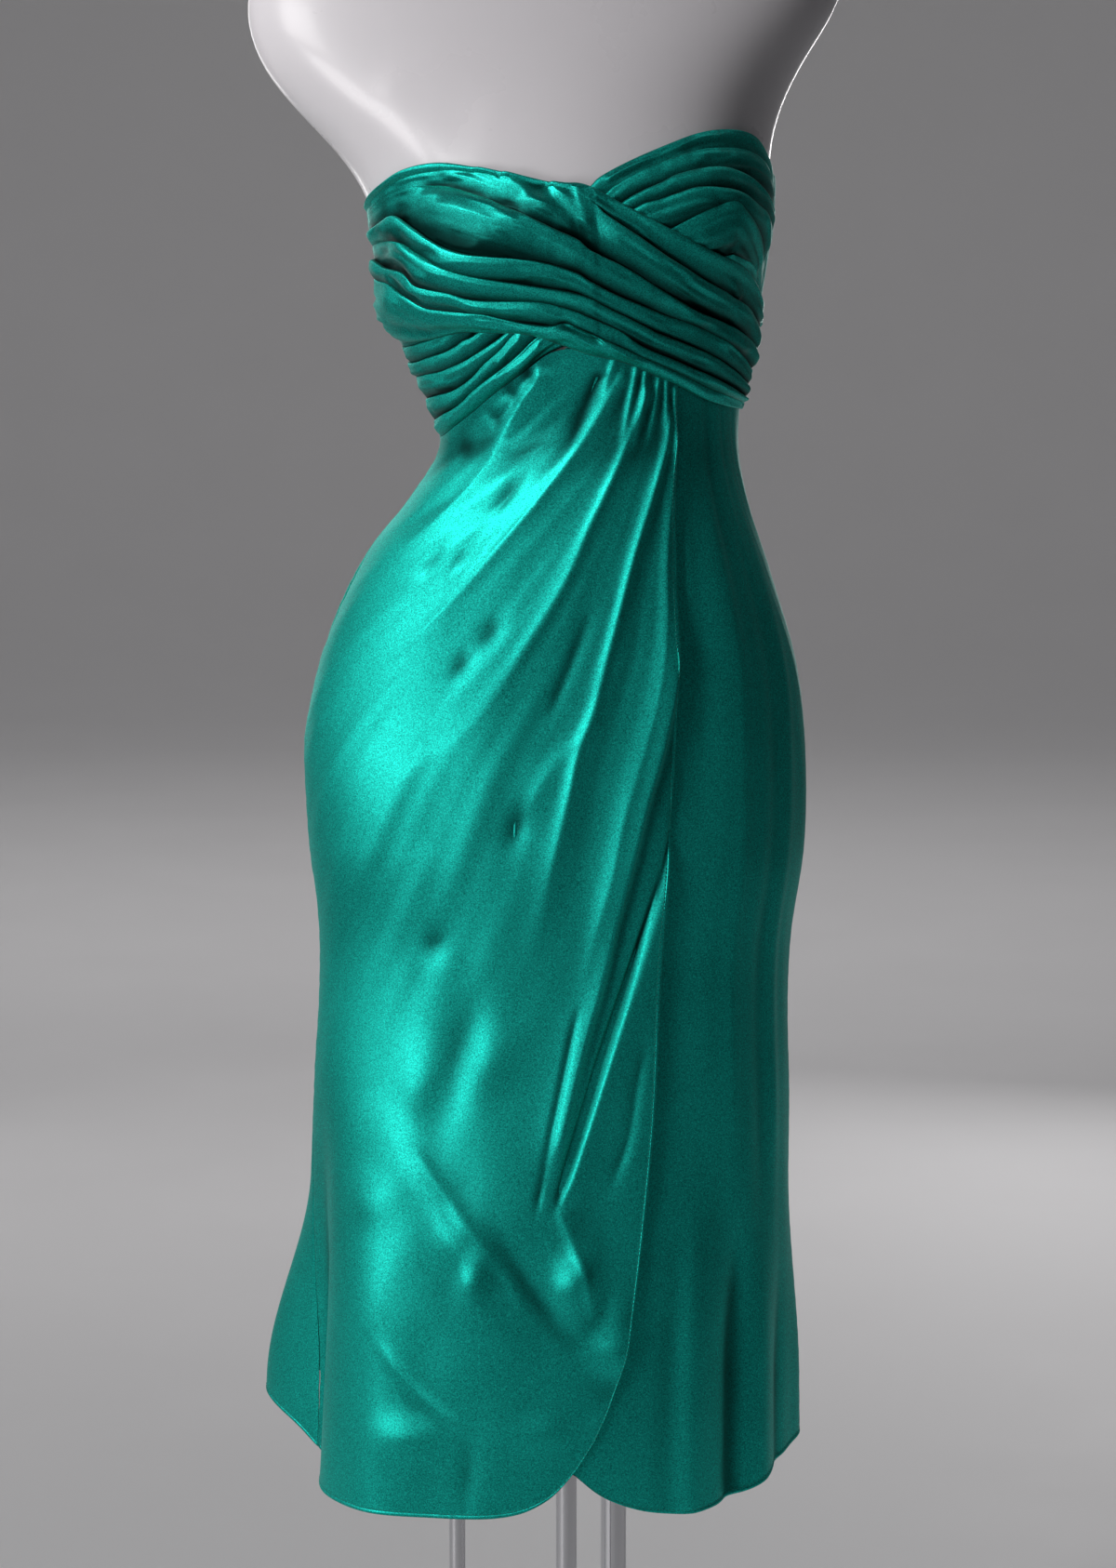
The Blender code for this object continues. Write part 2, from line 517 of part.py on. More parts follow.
# ------------------------------------------------------------ form and stand
def build_form(shell):
    """The limbless form, from the flat underside at the thighs to the neck cap."""
    sides = 40
    low_edge = 14.0
    heights = [FORM_BOTTOM, FORM_BOTTOM + 3, FORM_BOTTOM + low_edge]
    heights += list(np.arange(770.0, 1391.0, 31.0))
    heights += [1415.0, 1432.0, 1445.0, 1456.0, 1466.0, 1478.0, 1498.0, 1518.0, NECK_TOP - 3, NECK_TOP]
    points = []
    for level in heights:
        inset = FORM_INSET + 12 * float(ease((870 - level) / 130))
        edge = min(level - FORM_BOTTOM, low_edge) / low_edge
        inset += low_edge * (1 - (1 - (1 - edge) ** 2) ** 0.5)
        rim = min(NECK_TOP - level, 8.0) / 8.0
        inset += 8 * (1 - (1 - (1 - rim) ** 2) ** 0.5)
        angle = np.arange(sides) * 360.0 / sides
        level_of = np.full(sides, level)
        ring = figure(angle, level_of)
        ring[:, 2] = level + (ring[:, 2] - level) * ease((level - FORM_BOTTOM) / 60)
        centre = ring.mean(axis=0)
        reach = np.linalg.norm((ring - centre)[:, :2], axis=1)
        points += list(centre + (ring - centre) * (1 - inset / reach)[:, None])
    faces = [tuple(range(sides - 1, -1, -1))]
    for j in range(len(heights) - 1):
        for i in range(sides):
            a, b = j * sides + i, j * sides + (i + 1) % sides
            faces.append((a, b, b + sides, a + sides))
    top = (len(heights) - 1) * sides
    faces.append(tuple(range(top, top + sides)))
    make_solid("form_torso", points, faces, shell)


def turned(name, profile, sides, material):
    """A solid turned round the z axis from (radius, height) points, bottom to top."""
    points, faces = [], []
    for radius, height in profile:
        for i in range(sides):
            turn = 2 * pi * i / sides
            points.append((radius * cos(turn), radius * sin(turn), height))
    for j in range(len(profile) - 1):
        for i in range(sides):
            a, b = j * sides + i, j * sides + (i + 1) % sides
            faces.append((a, b, b + sides, a + sides))
    faces.append(tuple(range(sides - 1, -1, -1)))
    top = (len(profile) - 1) * sides
    faces.append(tuple(range(top, top + sides)))
    return make_solid(name, points, faces, material)


Rod = namedtuple("Rod", "name x y radius")
RODS = (Rod("rod_right", -72, 18, 6.0), Rod("rod_middle", 2, -38, 7.5), Rod("rod_left", 44, 28, 9.5))


def build_stand(chrome, steel):
    """Three rods with a collar at each end, on a round plate."""
    collar, collar_height = 9.0, 10.0
    low, high = BASE_THICK + FIT_GAP, FORM_BOTTOM - FIT_GAP
    for rod in RODS:
        wide = rod.radius + collar
        profile = ((wide, low), (wide, low + collar_height - 2), (wide - 2, low + collar_height),
                   (rod.radius, low + collar_height), (rod.radius, high - collar_height),
                   (wide - 2, high - collar_height), (wide, high - collar_height + 2), (wide, high))
        solid = turned(rod.name, profile, 20, chrome)
        solid.location = (rod.x * MM, rod.y * MM, 0)
    plate = ((BASE_RADIUS - 1.5, 0), (BASE_RADIUS, 1.5), (BASE_RADIUS, BASE_THICK - 2.5),
             (BASE_RADIUS - 2.5, BASE_THICK))
    turned("base_plate", plate, 64, steel)


# --------------------------------------------------------------- zip hardware
SLIDER = Vector((4.4, 2.2, 8.0))        # width, thickness, height
PULL_PIN = 0.7                          # radius of the slider's bar
PULL_EYE = 1.1                          # radius of the hole in the pull
PULL_LENGTH = 22.0


def box(work, low, high):
    """Add a block between two corners to a bmesh, in millimetres."""
    size = Vector(high) - Vector(low)
    middle = (Vector(high) + Vector(low)) / 2
    matrix = Matrix.Translation(middle) @ Matrix.Diagonal((*size, 1.0))
    bmesh.ops.create_cube(work, size=1.0, matrix=matrix)


def object_from(name, work, material):
    """A mesh object from a bmesh in millimetres."""
    bmesh.ops.scale(work, vec=(MM, MM, MM), verts=work.verts)
    mesh = bpy.data.meshes.new(name)
    work.to_mesh(mesh)
    work.free()
    mesh.materials.append(material)
    thing = bpy.data.objects.new(name, mesh)
    bpy.context.scene.collection.objects.link(thing)
    return thing


def join_solids(target, tool):
    """Join two overlapping solids into one and drop the second."""
    union = target.modifiers.new("join", 'BOOLEAN')
    union.operation = 'UNION'
    union.object = tool
    tool.hide_render = True
    tool.display_type = 'WIRE'


def build_zip_pull(metal):
    """The slider at the top of the zip, and the tab that swings on its bar."""
    seat = zip_line(np.array([ZIP_TOP - 8.0]), 1.9 + FIT_GAP + 0.15)[0]
    pin_out = SLIDER.y + 2.6
    pin_up = 1.0
    slider = bmesh.new()
    box(slider, (-SLIDER.x / 2, 0, -SLIDER.z / 2), (SLIDER.x / 2, SLIDER.y, SLIDER.z / 2))
    slider = object_from("zip_slider", slider, metal)
    for side in (-1, 1):
        ear = bmesh.new()
        box(ear, (side * 1.6 - 0.5, SLIDER.y - 0.5, pin_up - 1.2),
            (side * 1.6 + 0.5, pin_out + 1.2, pin_up + 1.2))
        join_solids(slider, object_from("slider_ear_cutter", ear, metal))
    bar = bmesh.new()
    bmesh.ops.create_cone(bar, cap_ends=True, segments=12, radius1=PULL_PIN, radius2=PULL_PIN, depth=3.6,
                          matrix=Matrix.Translation((0, pin_out, pin_up)) @ Matrix.Rotation(pi / 2, 4, 'Y'))
    join_solids(slider, object_from("slider_bar_cutter", bar, metal))
    pivot = Vector((seat[0], seat[1] + pin_out, seat[2] + pin_up))
    for piece in [slider] + [m.object for m in slider.modifiers]:
        piece.location = Vector(seat) * MM

    pull = eye_solid("zip_pull", metal)
    join_solids(pull, tongue_solid("pull_tongue_cutter", metal))
    for piece in [pull] + [m.object for m in pull.modifiers]:
        piece.location = pivot * MM


def eye_solid(name, metal):
    """The pull's round head about its pivot: a ring whose axis is X, with a short neck."""
    head, half, count = 2.1, 0.8, 16
    turns = [2 * pi * i / count for i in range(count)]
    rim = [(head * cos(t), head * sin(t)) for t in turns]
    eye = [(PULL_EYE * cos(t), PULL_EYE * sin(t)) for t in turns]
    work = bmesh.new()
    rings = [[work.verts.new((x, y, z)) for y, z in loop] for loop in (rim, eye) for x in (-half, half)]
    outer_low, outer_high, eye_low, eye_high = rings
    for first, second in ((outer_low, outer_high), (outer_high, eye_high), (eye_high, eye_low),
                          (eye_low, outer_low)):
        for i in range(count):
            j = (i + 1) % count
            work.faces.new((first[i], first[j], second[j], second[i]))
    bmesh.ops.recalc_face_normals(work, faces=work.faces)
    return object_from(name, work, metal)


def tongue_solid(name, metal):
    """The pull's flat tongue: a neck between the ears, widening to a rounded blade."""
    half_thick, neck, blade = 0.6, 0.7, 2.6
    round_end = [(blade * cos(radians(a)), 4 - PULL_LENGTH + blade * sin(radians(a)))
                 for a in range(-180, 1, 30)]
    outline = [(-neck, -1.7), (-neck, -3.4), (-blade, -6.0)] + round_end + [(blade, -6.0), (neck, -3.4),
                                                                         (neck, -1.7)]
    work = bmesh.new()
    face = work.faces.new([work.verts.new((x, -half_thick, z)) for x, z in outline])
    grown = bmesh.ops.extrude_face_region(work, geom=[face])["geom"]
    corners = [item for item in grown if isinstance(item, bmesh.types.BMVert)]
    bmesh.ops.translate(work, vec=(0, 2 * half_thick, 0), verts=corners)
    bmesh.ops.recalc_face_normals(work, faces=work.faces)
    return object_from(name, work, metal)


def build():
    for thing in list(bpy.data.objects):
        bpy.data.objects.remove(thing, do_unlink=True)
    satin = finish("emerald_satin", (0.006, 0.27, 0.24), 0.32, 0.2)
    shell = finish("white_gloss_shell", (0.78, 0.76, 0.79), 0.28)
    chrome = finish("chrome_rod", (0.80, 0.81, 0.83), 0.08, 1.0)
    steel = finish("polished_base", (0.62, 0.63, 0.65), 0.22, 1.0)
    tape = finish("zip_tape", (0.005, 0.16, 0.14), 0.55)
    metal = finish("zip_metal", (0.05, 0.30, 0.27), 0.30, 0.8)
    build_over_wrap(satin)
    build_under_wrap(satin)
    build_bodice_back("bodice_back_left", 1, satin)
    build_bodice_back("bodice_back_right", -1, satin)
    build_over_skirt(satin)
    build_under_skirt(satin)
    build_skirt_back("skirt_back_left", 1, satin)
    build_skirt_back("skirt_back_right", -1, satin)
    build_zip_chain(tape)
    build_zip_pull(metal)
    build_form(shell)
    build_stand(chrome, steel)


build()
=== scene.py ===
"""Draped satin dress on a form: strapless, with a crossed and pleated bodice, a
tulip wrap skirt, a back zip, and the form, rods and base that carry it.

Lengths in the tables are millimetres. A place on the dress is an angle round the
figure, in degrees from the centre front towards the wearer's left (+X), and a
height. The front faces -Y.
"""

from collections import namedtuple
from math import cos, pi, radians, sin

import bmesh
import bpy
import numpy as np
from mathutils import Matrix, Vector


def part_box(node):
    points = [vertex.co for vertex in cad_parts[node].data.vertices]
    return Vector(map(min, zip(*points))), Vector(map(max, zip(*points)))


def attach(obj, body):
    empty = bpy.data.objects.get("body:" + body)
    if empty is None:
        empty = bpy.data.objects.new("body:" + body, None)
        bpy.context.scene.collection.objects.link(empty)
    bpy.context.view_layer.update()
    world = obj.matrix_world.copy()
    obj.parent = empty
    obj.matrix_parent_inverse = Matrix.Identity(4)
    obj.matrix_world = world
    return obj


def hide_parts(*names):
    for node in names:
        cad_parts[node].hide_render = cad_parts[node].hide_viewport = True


bl_info = {
    "name": "Draped Satin Dress",
    "version": (1, 0, 0),
    "blender": (4, 5, 0),
    "location": "View3D > Sidebar > Dress",
    "description": "Builds a strapless satin wrap dress on its form, rods and base",
    "category": "Add Mesh",
}

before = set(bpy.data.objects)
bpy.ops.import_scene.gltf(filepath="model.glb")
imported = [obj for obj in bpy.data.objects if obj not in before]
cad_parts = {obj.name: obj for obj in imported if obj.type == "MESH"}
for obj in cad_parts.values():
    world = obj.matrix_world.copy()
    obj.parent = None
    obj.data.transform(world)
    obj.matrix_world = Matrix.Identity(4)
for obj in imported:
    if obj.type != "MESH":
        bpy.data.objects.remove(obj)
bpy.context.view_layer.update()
MM = 0.001
WORN = "dress_and_form"

# ------------------------------------------------------------- cut of the dress
CLOTH = 1.3             # outer face of a layer above its inner level
SEAM_GAP = 0.3          # clear height at the waist seam
SEAM_ANGLE = 0.08       # clear angle at an upright seam
SKIN_GAP = 0.7          # from the figure to the first layer
SKIRT_EASE = 2.0        # from the figure to the skirt's inner layer
LAYER = 2.3             # rise from one layer of cloth to the next
LEFT_SIDE = 74.0        # bodice side seam on the wearer's left
RIGHT_SIDE = -92.0      # side seams on the wearer's right
SKIRT_LEFT_SIDE = 88.0  # skirt side seam on the wearer's left
WAIST_BACK = 1092.0     # heights at the centre back
NECKLINE_BACK = 1238.0
HEM_BACK = 396.0
HEM_BACK_LEFT = ((108, 378), (134, 390))        # the back hems between their ends
HEM_BACK_RIGHT = ((-101, 378), (-114, 392), (-138, 400))
COVERED_BELOW = 1.215   # metres; below this height the form is out of sight,
UNDER_CLOTH = 0.0008    # metres; and it is drawn in by this much
ZIP_TOP = 1232.0
ZIP_BOTTOM = 960.0
ZIP_HALF_ANGLE = 1.9
EASE_TOP = 1085.0       # the skirt leaves the figure below this height,
EASE_FALL = 60.0        # and hangs off it by its whole ease this far below that
FREE_EDGE_LIFT = 3.0    # how far the over-panel's free edge stands off the under-panel
OVER_GATHER = (30, 1150)                        # where each panel's ripples fan out from
UNDER_GATHER = (40, 1240)
BACK_GATHER = 1260                              # on the line of the zip
LEAST_LIFT = 0.1

# --------------------------------------------------------------- looks of the cloth
DEGREE_AT_WAIST = 2.2   # millimetres to a degree round the figure
DEGREE_AT_BUST = 2.4
DEGREE_AT_SEAM = 2.6
DEGREE_AT_HIP = 2.9
CURVE_STEPS = 12        # from one point of a path to the next
SPINE_POINTS = 33       # along a ridge
RIDGE_REACH = 3.2       # widths from its spine to where a ridge has died away
CREASE_DEEP = 2.4       # depth of a crease in full painted shade
INSIDE_SHADE = 0.6      # painted shade of the cloth's inner face
WRAP_SHADE = 0.07       # least painted shade of the wraps
PLEAT_SHADE = 1.1       # strength of the painted shade under their pleats
SKIRT_SHADE = 1.35      # and of the painted shade in the creases of the skirt's over-panel
WRAP_COLUMNS = 351      # of the wraps' grids
OVER_SKIRT_GRID = (190, 248)                    # columns and rows of the other panels
UNDER_SKIRT_GRID = (110, 230)
BACK_SKIRT_GRID = (100, 200)
BACK_BODICE_GRID = (100, 72)
TOP_TURN = (1.0, 2.5)   # how deep an edge turns in, and over what width: a top edge,
LIP_TURN = (1.6, 4.0)   # the free lower edge of the over-wrap,
SEAM_TURN = (0.6, 2.5)  # and an edge at a seam
CLOTH_SHARP = 72        # degrees; a fold stays smooth below this angle

# Level sections of the figure. front and back are depths from the centre, and
# tilt is the rise of the section per millimetre towards +X.
Ring = namedtuple("Ring", "height centre_x centre_y half_width front back tilt")
RINGS = (
    Ring(330, -15, 0, 180, 126, 143, 0.00),
    Ring(472, -11, 0, 174, 117, 133, 0.00),
    Ring(604, -5, 0, 168, 109, 126, 0.00),
    Ring(736, -2, 0, 165, 106, 126, -0.02),
    Ring(802, -1, 0, 173, 108, 131, -0.03),
    Ring(868, -1, 0, 174, 108, 133, -0.04),
    Ring(934, 3, 0, 163, 104, 128, -0.05),
    Ring(1000, 9, 0, 137, 97, 110, -0.05),
    Ring(1040, 16, 0, 116, 90, 94, -0.03),
    Ring(1080, 22, 0, 103, 84, 80, 0.00),
    Ring(1120, 19, 0, 109, 87, 81, 0.04),
    Ring(1160, 15, -1, 123, 97, 88, 0.07),
    Ring(1200, 12, -3, 133, 108, 95, 0.10),
    Ring(1240, 10, -4, 139, 112, 100, 0.11),
    Ring(1270, 7, -3, 142, 105, 99, 0.11),
    Ring(1300, 1, -1, 157, 96, 97, 0.11),
)
RING_TABLE = np.array(RINGS, dtype=float)

Cup = namedtuple("Cup", "angle height out spread rise")
CUPS = (Cup(-37, 1226, 15, 24, 36), Cup(37, 1228, 15, 24, 36))

# A pleat crosses a wrap from the right side to the left. line is the path of its
# folded crest, which stands out by rise over the cloth tucked in behind it. The
# rise grows between the first two shares of the wrap's width, from the right, and
# fades over the third at its left end.
Pleat = namedtuple("Pleat", "rise from_right full_right fade_left line")
OVER_WRAP_PLEATS = (
    Pleat(6.0, 0.00, 0.04, 0.50, ((-92, 1212), (-80, 1208), (-69, 1205), (-59, 1198), (-52, 1190),
          (-43, 1186), (-33, 1182), (-27, 1177), (-21, 1172), (-14, 1168), (-9, 1168), (-2, 1160),
          (9, 1148), (19, 1138), (29, 1129), (43, 1118), (58, 1111), (74, 1106))),
    Pleat(6.0, 0.00, 0.04, 0.05, ((-92, 1224), (-80, 1222), (-71, 1217), (-61, 1214), (-55, 1210),
          (-51, 1205), (-41, 1199), (-35, 1193), (-26, 1189), (-16, 1186), (-10, 1181), (-5, 1176),
          (-2, 1172), (3, 1166), (8, 1159), (13, 1151), (20, 1144), (27, 1138), (34, 1132), (42, 1126),
          (54, 1118), (66, 1112), (74, 1110))),
    Pleat(7.0, 0.10, 0.26, 0.05, ((-92, 1232), (-75, 1234), (-64, 1234), (-57, 1232), (-53, 1229),
          (-49, 1224), (-44, 1219), (-35, 1210), (-27, 1204), (-19, 1198), (-10, 1192), (-5, 1188),
          (-1, 1184), (3, 1178), (9, 1170), (15, 1162), (19, 1157), (27, 1150), (37, 1143), (45, 1137),
          (60, 1125), (70, 1118), (74, 1115))),
    Pleat(6.5, 0.00, 0.10, 0.05, ((-92, 1240), (-78, 1243), (-66, 1247), (-61, 1249), (-57, 1248),
          (-53, 1244), (-48, 1238), (-43, 1231), (-39, 1226), (-33, 1221), (-27, 1218), (-19, 1214),
          (-11, 1208), (-5, 1201), (-1, 1194), (4, 1187), (9, 1181), (19, 1171), (27, 1165), (34, 1160),
          (42, 1153), (51, 1145), (58, 1139), (65, 1132), (74, 1126))),
    Pleat(8.0, 0.18, 0.40, 0.05, ((-92, 1252), (-78, 1258), (-64, 1264), (-50, 1267), (-42, 1265),
          (-36, 1261), (-30, 1254), (-25, 1248), (-18, 1238), (-11, 1229), (-5, 1222), (-1, 1214),
          (7, 1204), (12, 1197), (18, 1188), (26, 1177), (32, 1170), (41, 1163), (50, 1156), (59, 1149),
          (66, 1143), (74, 1138))),
    Pleat(7.5, 0.52, 0.60, 0.05, ((-92, 1255), (-78, 1263), (-64, 1270), (-50, 1275), (-36, 1274),
          (-24, 1266), (-14, 1258), (-5, 1250), (1, 1240), (3, 1235), (7, 1228), (12, 1220), (19, 1208),
          (26, 1198), (33, 1189), (41, 1181), (46, 1176), (54, 1170), (60, 1163), (67, 1154), (74, 1147))),
)
UNDER_WRAP_PLEATS = (
    Pleat(4.2, 0.00, 0.05, 0.20, ((-92, 1098), (-74, 1104), (-62, 1110), (-54, 1116), (-48, 1123),
          (-37, 1134), (-30, 1142), (-24, 1150), (-19, 1158), (-10, 1168), (0, 1176), (20, 1190),
          (39, 1202), (43, 1202), (49, 1198), (56, 1194), (61, 1188), (74, 1178))),
    Pleat(4.4, 0.00, 0.05, 0.10, ((-92, 1116), (-79, 1119), (-58, 1124), (-47, 1132), (-39, 1142),
          (-31, 1152), (-26, 1161), (-15, 1178), (0, 1196), (20, 1221), (32, 1232), (39, 1234), (43, 1228),
          (50, 1218), (56, 1210), (63, 1200), (74, 1188))),
    Pleat(4.6, 0.00, 0.05, 0.06, ((-92, 1135), (-72, 1137), (-60, 1139), (-48, 1144), (-40, 1150),
          (-33, 1157), (-28, 1164), (-15, 1186), (0, 1216), (8, 1232), (13, 1238), (18, 1240), (23, 1242),
          (29, 1244), (37, 1242), (43, 1238), (49, 1232), (57, 1226), (64, 1218), (70, 1206), (74, 1200))),
    Pleat(4.4, 0.00, 0.05, 0.06, ((-92, 1147), (-77, 1146), (-57, 1151), (-48, 1156), (-44, 1160),
          (-37, 1166), (-20, 1190), (0, 1228), (8, 1240), (14, 1246), (19, 1250), (23, 1254), (28, 1256),
          (34, 1257), (39, 1256), (44, 1252), (50, 1246), (56, 1239), (63, 1231), (69, 1225), (74, 1217))),
    Pleat(2.4, 0.00, 0.05, 0.08, ((-92, 1158), (-80, 1157), (-66, 1160), (-50, 1168), (-30, 1196),
          (-14, 1220), (0, 1240), (8, 1254), (20, 1264), (34, 1270), (48, 1268), (60, 1260), (74, 1242))),
)

# A ridge is a crease or soft fold along a path of places, or a trough where out is
# negative. left and right are its widths on each side of the way the path runs, at
# the path's start and at its end. It fades over these shares of its length, and a
# low power gives it a sharper crest.
Ridge = namedtuple("Ridge", "out left right fade_in fade_out path power", defaults=(1.8,))
OVER_WRAP_CREASES = (
    # the fan that runs from the neckline down to the pinch beside the centre front
    Ridge(2.2, (8, 5), (3.4, 3.0), 0.15, 0.20, ((-42, 1278), (-33, 1268), (-23, 1254), (-18, 1246),
          (-12, 1238)), 1.6),
    Ridge(2.4, (7, 4), (3.4, 2.8), 0.10, 0.20, ((-30, 1275), (-25, 1266), (-21, 1257), (-16, 1247),
          (-9, 1236)), 1.6),
    Ridge(3.0, (8, 4), (3.4, 2.8), 0.08, 0.15, ((-23, 1269), (-19, 1259), (-15, 1249), (-10, 1238),
          (-4, 1226)), 1.6),
    Ridge(2.8, (7, 4), (3.2, 2.8), 0.08, 0.15, ((-11, 1258), (-7, 1246), (-4, 1235), (-2, 1226)), 1.6),
    Ridge(2.0, (5, 3), (3.0, 2.8), 0.08, 0.15, ((-4, 1253), (-3, 1240), (-1, 1225)), 1.6),
    Ridge(-1.6, (4, 4), (5, 4), 0.30, 0.30, ((-52, 1272), (-41, 1264), (-32, 1257), (-26, 1251))),
    # hollows and small folds of the right cup
    Ridge(-2.4, (3, 2.5), (4, 3), 0.25, 0.30, ((-58, 1240), (-52, 1232), (-46, 1225), (-39, 1221))),
    Ridge(-2.6, (3, 3), (3.5, 3), 0.25, 0.25, ((-70, 1212), (-63, 1206), (-57, 1201), (-49, 1194))),
    Ridge(1.6, (8, 7), (4, 4), 0.30, 0.30, ((-50, 1256), (-38, 1248), (-26, 1238), (-14, 1228))),
    Ridge(-1.8, (5, 4), (6, 4), 0.30, 0.25, ((-30, 1233), (-22, 1229), (-13, 1219), (-6, 1209))),
    Ridge(-2.2, (4, 4), (3, 3), 0.20, 0.40, ((-82, 1178), (-69, 1175), (-57, 1170), (-45, 1171),
          (-33, 1173))),
    Ridge(1.8, (2.5, 2), (1.4, 1.2), 0.25, 0.20, ((-38, 1191), (-28, 1186), (-18, 1182), (-10, 1176)), 1.3),
    Ridge(1.6, (2.2, 2), (1.4, 1.2), 0.25, 0.20, ((-30, 1184), (-21, 1179), (-14, 1175), (-9, 1173)), 1.3),
    # the twist under the pinch
    Ridge(-3.0, (3, 3), (3, 3), 0.20, 0.20, ((-12, 1170), (-7, 1165), (-3, 1160), (2, 1153))),
    Ridge(2.4, (3, 3), (1.3, 1.2), 0.15, 0.20, ((-9, 1170), (-4, 1163), (2, 1154), (8, 1145), (16, 1137)),
          1.3),
    Ridge(1.8, (4, 4), (2, 2), 0.20, 0.40, ((2, 1170), (10, 1158), (19, 1149), (31, 1139)), 1.4),
    # between the long pleats on the left
    Ridge(-1.8, (5, 4), (5, 4), 0.30, 0.30, ((15, 1180), (22, 1174), (30, 1166))),
    Ridge(-2.0, (5, 4), (5, 4), 0.30, 0.30, ((32, 1163), (40, 1160), (48, 1160))),
    Ridge(1.6, (4, 4), (3, 3), 0.30, 0.30, ((40, 1151), (50, 1147), (58, 1140))),
    Ridge(1.5, (3, 3), (2, 2), 0.30, 0.20, ((42, 1188), (46, 1181), (50, 1173))),
    Ridge(1.4, (4, 4), (2, 2), 0.30, 0.10, ((44, 1118), (54, 1112), (70, 1107)), 1.4),
)
UNDER_WRAP_CREASES = (
    Ridge(-1.8, (5, 5), (5, 5), 0.20, 0.30, ((14, 1236), (23, 1238), (32, 1237), (40, 1230))),
    Ridge(-1.6, (4, 4), (4, 4), 0.30, 0.30, ((34, 1250), (41, 1249), (48, 1242), (56, 1232))),
    Ridge(1.8, (3, 3), (1.6, 1.5), 0.20, 0.20, ((36, 1203), (43, 1203), (50, 1198), (58, 1191), (64, 1184)),
          1.3),
    Ridge(1.6, (3, 3), (1.6, 1.5), 0.30, 0.20, ((52, 1228), (57, 1220), (61, 1211), (66, 1201)), 1.3),
    Ridge(1.6, (5, 4), (3, 3), 0.30, 0.30, ((26, 1216), (34, 1213), (42, 1213))),
    Ridge(1.2, (1.2, 1.2), (1.2, 1.2), 0.05, 0.10, ((4, 1255), (12, 1263), (22, 1270), (32, 1277),
          (44, 1279)), 1.3),
    Ridge(1.6, (3, 3), (1.4, 1.2), 0.15, 0.15, ((-34, 1140), (-29, 1149), (-22, 1159)), 1.3),
    Ridge(1.8, (4, 3), (2.5, 2), 0.15, 0.15, ((-32, 1131), (-24, 1142), (-19, 1151), (-17, 1159)), 1.4),
    Ridge(1.2, (3, 3), (1.4, 1.2), 0.20, 0.30, ((-90, 1126), (-74, 1127), (-60, 1131), (-50, 1138)), 1.3),
    Ridge(1.4, (4, 4), (2, 2), 0.20, 0.30, ((-80, 1108), (-64, 1113), (-52, 1120)), 1.4),
)

